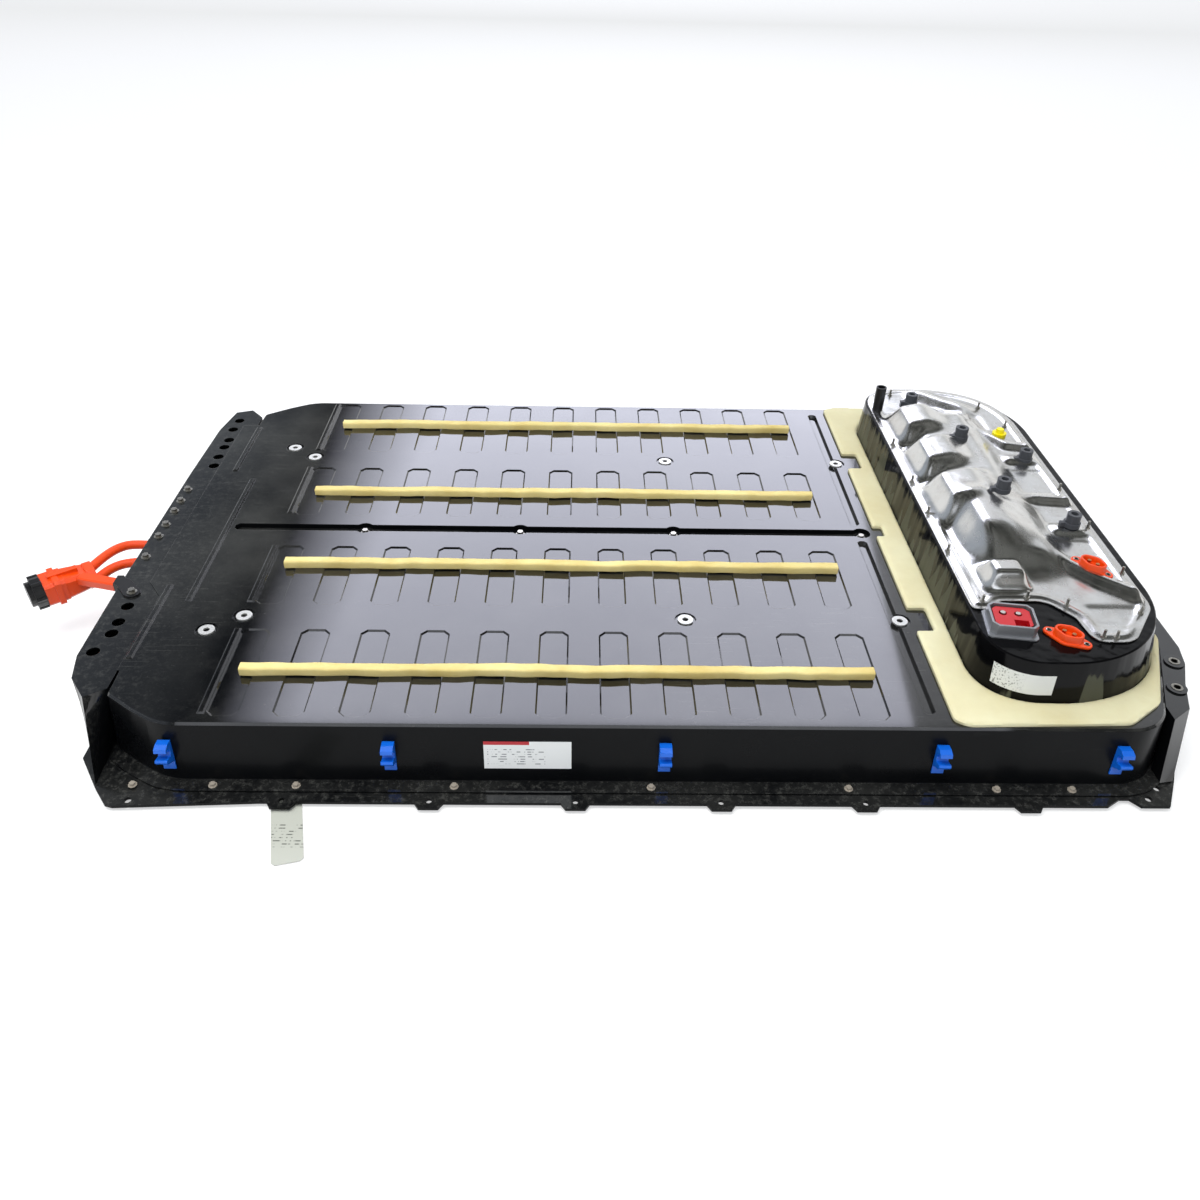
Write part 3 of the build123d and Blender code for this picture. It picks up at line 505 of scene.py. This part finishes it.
def rim_distance(xy, loop):
    """Signed distance of points from a closed loop, positive inside, and the nearest point."""
    best = np.full(len(xy), 1e9)
    nearest = np.zeros_like(xy)
    inside = np.zeros(len(xy), bool)
    for a, b in zip(loop, np.roll(loop, -1, axis=0)):
        edge = b - a
        length = max(edge @ edge, 1e-12)
        t = np.clip((xy - a) @ edge / length, 0, 1)
        foot = a + t[:, None] * edge
        d = np.hypot(*(xy - foot).T)
        closer = d < best
        best[closer], nearest[closer] = d[closer], foot[closer]
        crosses = (a[1] > xy[:, 1]) != (b[1] > xy[:, 1])
        if edge[1]:
            inside ^= crosses & (xy[:, 0] < a[0] + edge[0] * (xy[:, 1] - a[1]) / edge[1])
    return np.where(inside, best, -best), nearest


def within(xy, loops):
    """Signed distance from the nearest of an outer loop and its holes."""
    depth, foot = rim_distance(xy, loops[0])
    for hole in loops[1:]:
        d, f = rim_distance(xy, hole)
        nearer = -d < depth
        depth = np.where(nearer, -d, depth)
        foot[nearer] = f[nearer]
    return depth, foot


def shaped_sheet(name, loops, step, top, bottom):
    """Closed sheet cut to its loops; top and bottom give z from x, y and rim distance."""
    low, high = loops[0].min(0) - step, loops[0].max(0) + step
    xs, ys = np.arange(low[0], high[0], step), np.arange(low[1], high[1], step)
    xy = np.stack(np.meshgrid(xs, ys, indexing="ij"), -1).reshape(-1, 2)
    cells = np.arange(len(xy)).reshape(len(xs), len(ys))
    quads = np.stack([cells[:-1, :-1], cells[1:, :-1], cells[1:, 1:], cells[:-1, 1:]], -1)
    quads = quads.reshape(-1, 4)
    quads = quads[within(xy[quads].mean(1), loops)[0] > 0]
    sides = np.concatenate([quads[:, [i, (i + 1) % 4]] for i in range(4)])
    key = np.sort(sides, 1)
    _, place, count = np.unique(key, axis=0, return_index=True, return_counts=True)
    rim = sides[place[count == 1]]
    edge_points = np.unique(rim)
    xy[edge_points] = within(xy[edge_points], loops)[1]
    used, compact = np.unique(quads, return_inverse=True)
    quads = compact.reshape(-1, 4)
    rim = np.searchsorted(used, rim)
    xy = xy[used]
    depth = within(xy, loops)[0].clip(0)
    tops, floors = top(*xy.T, depth), bottom(*xy.T, depth)
    n = len(xy)
    verts = np.vstack([np.column_stack([xy, tops]), np.column_stack([xy, floors])])
    walls = np.column_stack([rim[:, 1], rim[:, 0], rim[:, 0] + n, rim[:, 1] + n])
    faces = np.vstack([quads, quads[:, ::-1] + n, walls])
    obj = mesh_object(name, verts.tolist(), faces.tolist(), 50)
    print(name, len(faces), "faces", [round(v, 3) for v in obj.dimensions])
    return obj


# %% [markdown]
# ## The pressed lid
#
# One aluminium blank, drawn deep where the switches and the service plug stand under it. A
# flat flange carries the studs. Three steep humps follow one another along its front side,
# the last runs out into a long dome, and shallower arms cross the flat towards the rear
# edge. Each form is a rise that eases in over its flank, and the forms are merged with a
# soft maximum, as a sheet drawn over several punches would be.

# %% Lid outline
LID_PLAN = (
    (1652, -414, 12), (1690, -414, 14), (1714, -388, 20), (1802, -388, 40), (1842, -440, 30),
    (1850, -512, 28), (1925, -512, 50), (2003, -405, 60), (2003, 563, 190), (1652, 563, 95),
)
lid_loop = arc_corners([(at(s), y * MM) for s, y, _ in LID_PLAN], [r * MM for *_, r in LID_PLAN])
LID_SHEET = 2.5 * MM
LID_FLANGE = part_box("lid_seal")[1].z + LID_SHEET
print("lid flange at", round(LID_FLANGE, 4))


# %% Lid forms
def ease(t):
    t = np.clip(t, 0, 1)
    return t * t * (3 - 2 * t)


def hump(s, y, low, high, near, far, height, flanks):
    """Drawn form between four sides, each with its own flank width."""
    front, rear, close, away = flanks
    along = ease((s - low) / front) * ease((high - s) / rear)
    return height * along * ease((y - near) / close) * ease((far - y) / away)


def wedge(s, y, centre, across, reach, height):
    """Drawn form with a rounded, leaning crest: steep to the front, long to the rear."""
    crest = centre + 0.35 * (s - 1700)
    side = np.abs(y - crest) / across
    front = ease((s - 1664) / 44)
    rear = ease((1664 + reach - s) / (0.55 * reach))
    return height * front * rear * ease(1.35 * (1 - side**1.6)).clip(0)


def arm(s, y, points, width, height):
    """Rounded ridge along a bent line."""
    best = np.full(s.shape, 1e9)
    for (s0, y0), (s1, y1) in zip(points, points[1:]):
        length = (s1 - s0) ** 2 + (y1 - y0) ** 2
        t = np.clip(((s - s0) * (s1 - s0) + (y - y0) * (y1 - y0)) / length, 0, 1)
        best = np.minimum(best, np.hypot(s - s0 - t * (s1 - s0), y - y0 - t * (y1 - y0)))
    return height * (1 - ease(best / width))


def drawn_forms(s, y):
    """Merged height of the raised forms, less the sunk flats, in mm."""
    forms = [
        hump(s, y, 1700, 1915, -320, 440, 25, (40, 70, 80, 80)),
        wedge(s, y, 318, 92, 190, 47),
        wedge(s, y, 142, 92, 200, 50),
        wedge(s, y, -34, 100, 220, 56),
        hump(s, y, 1682, 1920, -340, 20, 56, (62, 150, 170, 110)),
        hump(s, y, 1692, 1792, -362, -270, 37, (26, 24, 24, 30)),
        arm(s, y, ((1812, -62), (1872, -20), (1915, -8), (1985, -16)), 24, 13),
        arm(s, y, ((1872, 470), (1894, 315), (1938, 246), (1985, 236)), 26, 11),
        arm(s, y, ((1868, -200), (1887, -262), (1935, -322), (1985, -366)), 30, 16),
        arm(s, y, ((1800, 520), (1850, 470), (1884, 440)), 44, 14),
        hump(s, y, 1900, 1985, 150, 196, 9, (16, 14, 14, 14)),
        hump(s, y, 1900, 1982, -160, -108, 9, (16, 14, 14, 14)),
    ]
    sunk = [
        hump(s, y, 1896, 1984, 22, 128, 3.5, (8, 8, 8, 8)),
        hump(s, y, 1878, 1976, -236, -172, 3.5, (8, 8, 8, 8)),
        hump(s, y, 1862, 1930, 312, 420, 3, (16, 16, 24, 24)),
        hump(s, y, 1868, 1975, -470, -400, 2.5, (9, 9, 9, 9)),
    ]
    return sum(f.clip(0) ** 3.5 for f in forms) ** (1 / 3.5) - sum(sunk)


def lid_height(x, y, rim):
    """Height of the lid over its flange, in mm: the forms as a sheet would follow them."""
    s, y, rim = (x - NOSE) / MM, y / MM, rim / MM
    ring = [(r * cos(a), r * sin(a)) for r in (4, 9) for a in np.linspace(0, 5.5, 8)]
    eased = sum(drawn_forms(s + ds, y + dy) for ds, dy in ring) / len(ring)
    bead = 2.2 * ease((rim - 9) / 5) * (1 - ease((rim - 20) / 6))
    return (eased * ease((rim - 3) / 14) + bead).clip(-2)


def lid_top(x, y, rim):
    """Lid's outer skin."""
    return LID_FLANGE + lid_height(x, y, rim) * MM


def lid_under(x, y, rim):
    """Lid's inner skin, one sheet thickness down."""
    return lid_top(x, y, rim) - LID_SHEET


lid = shaped_sheet("pressed_lid", [lid_loop], 4 * MM, lid_top, lid_under)
lid.data.materials.append(LID)
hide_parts("penthouse_lid")
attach(lid, "root")

# %% [markdown]
# ## Foam round the housing
#
# A die-cut frame of foam, laid loose on the cover. It is notched where it clears the round
# recesses and the middle channel. Its top is never quite level.

# %% Foam frame
FOAM_NEAR = [(1577, -622), (1600, -637), (1900, -630), (1975, -575), (2058, -385)]
FOAM_THICK = 10 * MM
NOTCHES = ((-366.5, -291.5, 37), (-20, 20, 20), (291.5, 366.5, 37))


def foam_outline():
    """Outer edge of the foam frame, walked round from the near front corner."""
    near = [(at(s), y * MM) for s, y in FOAM_NEAR]
    far = [(x, -y) for x, y in reversed(near)]
    front = []
    for low, high, deep in reversed(NOTCHES):
        front += [(at(1577), high), (at(1577 + deep), high)]
        front += [(at(1577 + deep), low), (at(1577), low)]
    front = [(x, y * MM) for x, y in front]
    radii = [14 * MM] + [40 * MM] * 4
    return arc_corners(near + far + front, radii + radii[::-1] + [4 * MM] * len(front), 6)


def housing_outline():
    """Foot of the housing that the foam goes round."""
    low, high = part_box("penthouse_skirt")
    corners = [(low.x, low.y), (high.x, low.y), (high.x, high.y), (low.x, high.y)]
    return arc_corners(corners, [v * MM for v in (105, 245, 245, 105)], 24)


def waves(x, y, size, seed):
    """Slow waves of the foam, in units of its own height."""
    points = zip(np.ravel(x), np.ravel(y))
    values = [noise.noise(Vector((a / size, b / size, seed))) for a, b in points]
    return np.array(values).reshape(np.shape(x))


def foam_top(x, y, rim):
    """Foam's top: level but for slow waves, and rounded down at its cut edges."""
    drop = 3.5 * MM * (1 - np.sqrt(1 - (1 - np.clip(rim / (6 * MM), 0, 1)) ** 2))
    return COVER_TOP + FOAM_THICK - drop + 1.4 * MM * (waves(x, y, 0.09, 1.0) - 0.4)


def foam_floor(x, *_):
    """Foam's flat underside, a hair above the cover."""
    return np.full(np.shape(x), COVER_TOP + 0.05 * MM)


surround = shaped_sheet(
    "foam_frame", [foam_outline(), housing_outline()], 5 * MM, foam_top, foam_floor
)
surround.data.materials.append(SURROUND_FOAM)
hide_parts("foam_surround")
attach(surround, "root")

# %% [markdown]
# ## Foam strips
#
# Four strips of the same foam keep the cover off the car's floor. They are hand laid on
# glue, so each one wanders by a few millimetres and sags between the pads.

# %% Four strips
def skin(count, rings):
    """Faces over a row of rings with count points each, closed at both ends."""
    faces = [tuple(range(count))[::-1]]
    for i in range(rings - 1):
        for k in range(count):
            a, b = i * count + k, i * count + (k + 1) % count
            faces.append((a, b, b + count, a + count))
    last = (rings - 1) * count
    return faces + [tuple(range(last, last + count))]


STRIP_SEEDS = {"foam_strip_1": 3.1, "foam_strip_2": 7.7, "foam_strip_3": 12.4, "foam_strip_4": 18.9}


def strip_section(width, height):
    """Half-round-shouldered section of a strip, as (across, up)."""
    shoulder = 4 * MM
    points = [(-width / 2, 0), (-width / 2, height - shoulder)]
    points += [(-width / 2 + shoulder * 0.3, height - shoulder * 0.3)]
    points += [(-width / 2 + shoulder, height), (width / 2 - shoulder, height)]
    points += [(width / 2 - shoulder * 0.3, height - shoulder * 0.3)]
    return points + [(width / 2, height - shoulder), (width / 2, 0)]


def soft_strip(node, seed):
    """Strip swept along the node's own box, with its wander and sag."""
    low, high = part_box(node)
    width, height = high.y - low.y, high.z - low.z
    stations = np.arange(low.x, high.x, 7 * MM)
    verts = []
    for x in stations:
        here = Vector((x * 6, seed, 0))
        wander = noise.noise(here) * 3.5 * MM + noise.noise(here * 4) * 1.6 * MM
        sag = 1 - 0.22 * abs(noise.noise(here * 1.9 + Vector((0, 5, 0))))
        full = 1 + 0.16 * noise.noise(here * 4 + Vector((0, 9, 0)))
        for across, up in strip_section(width * 0.96, height):
            z = low.z + 0.05 * MM + up * sag
            verts.append((x, (low.y + high.y) / 2 + wander + across * full, z))
    faces = skin(len(strip_section(1, 1)), len(stations))
    obj = mesh_object("soft_" + node, verts, faces, 50)
    obj.data.materials.append(STRIP_FOAM)
    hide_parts(node)
    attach(obj, "root")
    return obj


strips = [soft_strip(node, seed) for node, seed in STRIP_SEEDS.items()]
print("strips", [round(o.dimensions.x, 3) for o in strips])

# %% [markdown]
# ## Power leads
#
# Two high-voltage leads leave the front beam through rubber glands and swing round into the
# connector's clamp. Each is a screened copper core in an orange silicone sleeve, 20 mm
# thick, held at both ends and too stiff to bend tighter than about three diameters.

# %% Leads
LEAD_THICK = 20 * MM
UPPER_ROUTE = [
    (-62, -40, -27), (-95, -45, -21), (-120, -62, -17), (-138, -94, -16), (-151, -130, -18),
    (-158, -152, -20),
]
LOWER_ROUTE = [
    (-62, -96, -34), (-92, -101, -33), (-115, -117, -32), (-131, -141, -33), (-142, -171, -35),
]


def lead(name, node, route):
    """Round lead along a route given from the cover's front corner and its top."""
    curve = bpy.data.curves.new(name, "CURVE")
    curve.dimensions = "3D"
    curve.bevel_depth = LEAD_THICK / 2
    curve.bevel_resolution = 8
    curve.resolution_u = 16
    curve.use_fill_caps = True
    line = curve.splines.new("NURBS")
    line.points.add(len(route) - 1)
    for point, (s, y, z) in zip(line.points, route):
        point.co = (at(s), y * MM, COVER_TOP + z * MM, 1)
    line.order_u = 3
    line.use_endpoint_u = True
    obj = bpy.data.objects.new(name, curve)
    bpy.context.scene.collection.objects.link(obj)
    curve.materials.append(FINISH["orange_sleeve"])
    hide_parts(node)
    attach(obj, "root")
    return obj


upper = lead("upper_lead", "hv_cable_upper", UPPER_ROUTE)
lower = lead("lower_lead", "hv_cable_lower", LOWER_ROUTE)
print("leads", upper.name, lower.name)

# %% [markdown]
# ## Orange headers
#
# The two small power sockets are moulded in orange PBT: an eye-shaped flange with a bolt
# bush at each end, a raised oval collar with a soft rim, and a deep well for the contacts.
# Each is a stack of outlines of the same family, the hull of a middle disc and two ends.


# %% Headers
def eye_ring(middle, end, reach, z, count=56):
    """Ring of points round a middle disc and two end discs, in mm."""
    points = []
    for k in range(count):
        angle = radians(360 * (k + 0.5) / count)
        n = (cos(angle), sin(angle))
        centres = ((0, middle), (-reach, end), (reach, end))
        x, r = max(centres, key=lambda c: c[0] * n[0] + c[1])
        points.append((x + r * n[0], r * n[1], z))
    return points


def stacked(name, rings, material):
    """Mesh skinned over rings of equal count, closed at both ends."""
    faces = skin(len(rings[0]), len(rings))
    verts = [(x * MM, y * MM, z * MM) for ring in rings for x, y, z in ring]
    obj = mesh_object(name, verts, faces, 40)
    obj.data.materials.append(material)
    return obj


BOLT_PITCH = 69
HEADER_RINGS = [
    (23, 11, 33, 0), (23.5, 11.5, 33, 1), (23.5, 11.5, 33, 4), (22.5, 10.5, 33, 5.2),
    (20, 15, 13, 5.2), (19.5, 14.5, 12, 7), (19.5, 14.5, 12, 17.5), (18.5, 13.5, 12, 19),
    (15.5, 10.5, 12, 19), (14.5, 9.5, 12, 17.5), (14, 9, 12, 7.8), (5, 3, 4, 7.8),
]


def header(node, turn):
    """Header in a CAD node's place, with a steel bush in each ear."""
    low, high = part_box(node)
    middle = (low + high) / 2
    place = Matrix.Translation((middle.x, middle.y, low.z))
    place = place @ Matrix.Rotation(radians(turn), 4, "Z")
    rings = [eye_ring(*ring) for ring in HEADER_RINGS]
    body = stacked("moulded_" + node, rings, FINISH["orange_plastic"])
    body.matrix_world = place
    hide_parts(node)
    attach(body, "root")
    for side in (-1, 1):
        sizes = ((5.5, 5.3), (5.5, 6.0), (4.8, 6.4), (3.4, 6.4), (3.2, 5.3), (0.5, 5.3))
        rings = [eye_ring(r, r, 0, z, 24) for r, z in sizes]
        bush = stacked(f"bush_{node}_{side + 2}", rings, FINISH["zinc_steel"])
        bush.matrix_world = place @ Matrix.Translation((side * BOLT_PITCH / 2 * MM, 0, 0))
        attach(bush, "root")
    return body


headers = [header("rear_header", -52), header("drive_header", -38)]
print("headers", [[round(v, 3) for v in o.dimensions] for o in headers])

# %% [markdown]
# ## Floor, light and camera
#
# The pack stands on a plain pale floor in a white surround. A ray that comes from the
# camera, or off metal or through glass, meets the same white, and the floor keeps the soft
# shadow of the pack because most of its brightness is the light that falls on it.


# %% Floor and surround
def stage_plane(name, corners, material):
    """Four-cornered card that belongs to the studio and not to the pack."""
    obj = mesh_object(name, corners, [(0, 1, 2, 3)])
    obj.data.materials.append(material)
    return obj


def shell_material(name):
    """Empty material with only its output node."""
    material = bpy.data.materials.new(name)
    material.use_nodes = True
    tree = material.node_tree
    tree.nodes.remove(tree.nodes["Principled BSDF"])
    return material, tree, tree.nodes["Material Output"]


def shown(tree):
    """1 for a ray that can carry the surround to the viewer."""
    path = add(tree, "LightPath").outputs
    inputs = {0: path["Is Camera Ray"], 1: path["Is Glossy Ray"]}
    seen = add(tree, "Math", inputs, operation="MAXIMUM").outputs[0]
    inputs = {0: seen, 1: path["Is Transmission Ray"]}
    return add(tree, "Math", inputs, operation="MAXIMUM").outputs[0]


pale, tree, output = shell_material("pale_floor")
lift = add(tree, "Math", (shown(tree), 0.5), operation="MULTIPLY").outputs[0]
glow = add(tree, "Emission", {"Color": linear("#FFFFFF"), "Strength": lift}).outputs[0]
lit = add(tree, "BsdfDiffuse", {"Color": linear("#C4C4C2")}).outputs[0]
both = add(tree, "AddShader", {0: lit, 1: glow})
tree.links.new(both.outputs[0], output.inputs["Surface"])


def square(half, z):
    """Corners of a level square round the origin."""
    return [(-half, -half, z), (half, -half, z), (half, half, z), (-half, half, z)]


stage_plane("floor", square(30, -2 * MM), pale)

world = bpy.data.worlds.new("white_surround")
world.use_nodes = True
bpy.context.scene.world = world
tree = world.node_tree
soft = tree.nodes["Background"]
soft.inputs["Color"].default_value = linear("#F4F8FF")
soft.inputs["Strength"].default_value = 0.68
white = add(tree, "Background", {"Color": linear("#FFFFFF"), "Strength": 1.0}).outputs[0]
surround = add(tree, "MixShader", {0: shown(tree), 1: soft.outputs[0], 2: white})
tree.links.new(surround.outputs[0], tree.nodes["World Output"].inputs["Surface"])
print("floor and surround", pale.name, world.name)

# %% [markdown]
# Gloss black only looks black when most of what it mirrors is dark, so a cloudy dark cloth
# hangs high over the set, as it would in a studio, thinner beyond the front end. It is seen
# in reflections alone and takes no light from the floor.

# %% Dark cloth overhead
cloth, tree, output = shell_material("dark_cloth")
where = add(tree, "TexCoord").outputs["Object"]
folds = add(tree, "TexNoise", {"Vector": where, "Scale": 0.2, "Detail": 6.0, "Roughness": 0.65})
folds = add(tree, "MapRange", (folds.outputs["Fac"], 0.44, 0.60, 0, 1)).outputs[0]
tints = {0: folds, 6: linear("#1A1C18"), 7: linear("#8A8B88")}
shade = add(tree, "Mix", tints, data_type="RGBA").outputs[2]
thin = add(tree, "SeparateXYZ", {0: where}).outputs["X"]
thin = add(tree, "MapRange", (thin, -8.0, -13.0, 0, 0.8)).outputs[0]
tints = {0: thin, 6: shade, 7: linear("#B4BCC8")}
shade = add(tree, "Mix", tints, data_type="RGBA").outputs[2]
dim = add(tree, "Emission", {"Color": shade, "Strength": 1.0})
tree.links.new(dim.outputs[0], output.inputs["Surface"])
canopy = stage_plane("canopy", square(40, 14), cloth)
for kind in ("camera", "diffuse", "transmission", "shadow"):
    setattr(canopy, "visible_" + kind, False)
print("cloth hangs at", canopy.bound_box[0][2], "m")

# %% [markdown]
# A tall soft panel behind the pack is what the cover mirrors. Its left edge leans and
# fades, so that the gloss runs from black at the front end to silver in the middle, and a
# dimmer panel beside it serves the lid.

# %% Tall soft panels
def panel_material(name, tint):
    """Glow that the camera looks through, with its tree and its emission node."""
    material, tree, output = shell_material(name + "_glow")
    hidden = add(tree, "BsdfTransparent").outputs[0]
    glow = add(tree, "Emission", {"Color": linear(tint)})
    camera_ray = add(tree, "LightPath").outputs["Is Camera Ray"]
    mix = add(tree, "MixShader", {0: camera_ray, 1: glow.outputs[0], 2: hidden})
    tree.links.new(mix.outputs[0], output.inputs["Surface"])
    return material, tree, glow.inputs["Strength"]


PANEL_Y = 9.9


def soft_panel(name, left, right, bottom, top, strength, tint, fade):
    """Upright glowing panel; left and right are x at its bottom and at its top.

    Its glow rises from nothing over the given width beside the leaning left edge.
    """
    material, tree, glow = panel_material(name, tint)
    place = add(tree, "SeparateXYZ", {0: add(tree, "TexCoord").outputs["Object"]}).outputs
    edge = add(tree, "MapRange", (place["Z"], bottom, top, left[0], left[1])).outputs[0]
    inward = add(tree, "Math", (place["X"], edge), operation="SUBTRACT").outputs[0]
    tree.links.new(add(tree, "MapRange", (inward, 0, fade, 0, strength)).outputs[0], glow)
    corners = [(left[0], PANEL_Y, bottom), (right[0], PANEL_Y, bottom)]
    corners += [(right[1], PANEL_Y, top), (left[1], PANEL_Y, top)]
    return stage_plane(name, corners, material)


soft_panel("panel_middle", (-3.0, -6.0), (3.1, 5.4), 4.3, 10.3, 5.0, "#E6E8F8", 1.3)
soft_panel("panel_lid", (3.1, 5.4), (10.2, 14.8), 4.3, 10.3, 1.0, "#F0F3F8", MM)
print("panels stand", PANEL_Y, "m behind the pack")

# %% [markdown]
# A soft panel behind the viewer lights the rounded edges, and one broad lamp overhead
# gives the foam its soft light.

# %% Panel behind the viewer and overhead lamp
behind, _, glow = panel_material("panel_behind", "#EEF2FA")
glow.default_value = 1.6
corners = [(-3, -3.4, 4.4), (3, -3.4, 4.4), (3, -6, 4.4), (-3, -6, 4.4)]
stage_plane("panel_behind", corners, behind)

overhead = bpy.data.lights.new("overhead", "AREA")
overhead.shape = "RECTANGLE"
overhead.size, overhead.size_y = 3.2, 2.4
overhead.energy = 125
lamp = bpy.data.objects.new("overhead", overhead)
lamp.location = (-0.9, -0.9, 3.4)
lamp.visible_glossy = False
bpy.context.scene.collection.objects.link(lamp)
print("overhead lamp", overhead.energy, "W")

# %% [markdown]
# The camera stands at one long side, a little over two metres from the middle of the pack
# and 1.4 m up, with a wide lens tilted down.

# %% Camera
camera = bpy.data.objects.new("camera", bpy.data.cameras.new("camera"))
bpy.context.scene.collection.objects.link(camera)
bpy.context.scene.camera = camera
camera.data.lens = 30
camera.data.sensor_width = 36
YAW, PITCH, ROLL = 0.0262, 0.6415, 0.0253
ahead = Vector((sin(YAW) * cos(PITCH), cos(YAW) * cos(PITCH), -sin(PITCH)))
level = Vector((cos(YAW), -sin(YAW), 0))
upright = level.cross(ahead)
right = level * cos(ROLL) + upright * sin(ROLL)
up = upright * cos(ROLL) - level * sin(ROLL)
turn = Matrix((right, up, -ahead)).transposed()
camera.matrix_world = Matrix.Translation((-0.123, -1.927, 1.383)) @ turn.to_4x4()
bpy.context.scene.view_settings.view_transform = "Standard"
print("camera at", [round(v, 3) for v in camera.matrix_world.translation])
